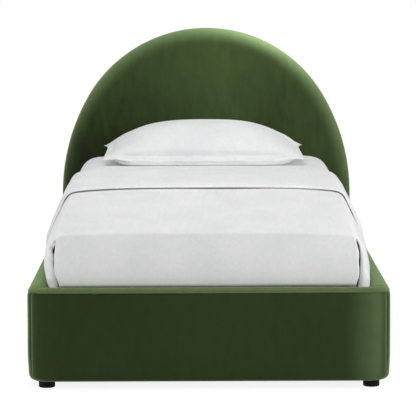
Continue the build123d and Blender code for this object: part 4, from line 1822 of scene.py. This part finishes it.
class Carcass:
    """The nodes that keep their own shape: timber, steel, foam, cloth and feet."""

    def __init__(self, wardrobe: Wardrobe) -> None:
        """Chooses a finish for each kind of node by words of its name, of which the first counts.

        Args:
            wardrobe: Where the materials come from.
        """
        self.wardrobe = wardrobe
        spruce = {"early": srgb(224, 196, 148), "late": srgb(184, 142, 90)}
        birch = {"early": srgb(222, 200, 164), "late": srgb(190, 160, 118)}
        hardwood = {"early": srgb(226, 198, 154), "late": srgb(188, 150, 100)}
        self.rules: list[tuple[Finish, list[str]]] = [
            (Foam(), ["foam"]),
            (Zinc(), ["screws", "bolts", "inserts"]),
            (PowderCoat(), ["centre_leg", "hanger", "bracket"]),
            (Plastic(), ["centre_glide", "foot_front", "foot_back"]),
            (DustCloth(), ["dust_cloth"]),
            (Wood("plywood", Grain.UPRIGHT, rings=18.0, **birch), ["headboard_panel"]),
            (Wood("frame_timber", Grain.ALONG, **spruce), ["slat_ledger", "side_rail_board", "centre_beam"]),
            (Wood("frame_timber", Grain.ACROSS, **spruce), ["foot_rail_board", "headboard_rib", "crossbar"]),
            (Wood("frame_timber", Grain.UPRIGHT, **spruce), ["foot_corner_block", "headboard_post"]),
            (Wood("slat_wood", Grain.ACROSS, **hardwood), ["slat_"]),
        ]

    def dress(self) -> None:
        """Gives every node that still shows its finish."""
        for name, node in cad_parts.items():
            if node.hide_render:
                continue
            finish = next(finish for finish, words in self.rules if any(word in name for word in words))
            self.wardrobe.dress(node, finish)
            log.info("%s: dressed", name)


@dataclass(frozen=True)
class Lamp:
    """A soft square lamp: its place and aim, its side, its power and its beam in degrees."""

    name: str
    place: Triple
    aim: Triple
    size: float
    power: float
    spread: float = 180.0

    def hang(self) -> None:
        """Adds the lamp to the scene."""
        data = bpy.data.lights.new(self.name, "AREA")
        data.size = self.size
        data.spread = math.radians(self.spread)
        data.energy = self.power
        turn = (Vector(self.place) - Vector(self.aim)).to_track_quat("Z", "Y").to_matrix().to_4x4()
        add_object(self.name, data).matrix_world = Matrix.Translation(self.place) @ turn


@dataclass
class Studio:
    """A white room with soft light, and the photograph's viewpoint."""

    lens: float = 204.1
    eye: Triple = (-0.0343, -8.3485, 1.3604)
    pitch: float = 6.152
    yaw: float = 0.251
    roll: float = -0.168
    sight: float = 60.0
    floor_size: float = 14.0
    floor_glow: float = 0.86
    ambient: float = 0.47
    lamps: tuple[Lamp, ...] = (
        Lamp("bed_lamp", (-0.4, -0.4, 2.9), (-0.1, 0.0, 0.6), 1.4, 20.0),
        Lamp("front_lamp", (-0.5, -5.6, 2.0), (0.0, -0.5, 0.4), 2.0, 23.0),
        Lamp("key_lamp", (2.8, -2.0, 1.2), (0.5, -0.8, 0.3), 0.8, 32.0),
        Lamp("rim_lamp", (0.44, 0.82, 1.60), (0.20, 1.02, 1.0), 0.4, 0.9, 50),
        Lamp("left_lamp", (-2.6, -1.6, 0.5), (-0.6, -0.9, 0.2), 0.6, 1.2, 50),
    )

    def build(self) -> None:
        """Makes the camera, the world, the lamps and the floor."""
        bpy.context.scene.view_settings.view_transform = "Standard"
        self.make_camera()
        self.make_world()
        self.make_floor()
        for lamp in self.lamps:
            lamp.hang()
        log.info("studio ready")

    def make_camera(self) -> None:
        """Sets up the camera."""
        data = bpy.data.cameras.new("camera")
        data.lens = self.lens
        data.sensor_width = 36.0
        data.clip_end = self.sight
        camera = add_object("camera", data)
        turns = ((-self.yaw, "Z"), (90 - self.pitch, "X"), (self.roll, "Z"))
        yaw, pitch, roll = (Matrix.Rotation(math.radians(turn), 4, axis) for turn, axis in turns)
        camera.matrix_world = Matrix.Translation(self.eye) @ yaw @ pitch @ roll
        bpy.context.scene.camera = camera

    def make_world(self) -> None:
        """Makes a world that shows white and lights the bed softly."""
        world = bpy.data.worlds.new("white_room")
        bpy.context.scene.world = world
        world.use_nodes = True
        nodes = Nodes(world.node_tree)
        shown = nodes.on_rays("Is Camera Ray", "Is Glossy Ray", "Is Transmission Ray")
        back = world.node_tree.nodes["Background"]
        nodes.feed(back.inputs["Strength"], shown * (1 - self.ambient) + self.ambient)
        nodes.feed(back.inputs["Color"], (1, 1, 1, 1))

    def make_floor(self) -> None:
        """Lays a white floor that keeps a faint shadow."""
        mesh = bmesh.new()
        bmesh.ops.create_grid(mesh, x_segments=8, y_segments=8, size=self.floor_size)
        floor = as_object(mesh, "floor")
        paint = Paint("white_floor")
        glow = paint.on_rays("Is Camera Ray", "Is Glossy Ray") * self.floor_glow
        tone = paint.blend(paint.noise(160.0, 2.0), srgb(228, 228, 228), srgb(236, 236, 236))
        dim = paint.blend(paint.on_rays("Is Camera Ray"), tone, srgb(126, 126, 126))
        shine = paint.blend(glow, (0, 0, 0, 1), (1, 1, 1, 1))
        paint.finish(base_color=dim, roughness=0.9, emission_color=shine, emission_strength=1.0)
        floor.data.materials.append(paint.material)


def main() -> None:
    """Builds the whole scene in order."""
    logging.basicConfig(level=logging.INFO, format="%(name)s: %(message)s")
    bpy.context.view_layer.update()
    Studio().build()
    wardrobe = Wardrobe()
    Headboard(wardrobe).build()
    rails = RailCover(wardrobe)
    rails.foot()
    rails.side(Hand.LEFT)
    rails.side(Hand.RIGHT)
    mattress = Mattress(wardrobe, MattressShape())
    mattress.build_pad()
    mattress.build_sheet()
    Duvet(wardrobe).build()
    Pillow(wardrobe).build()
    Carcass(wardrobe).dress()


if __name__ == "__main__":
    main()
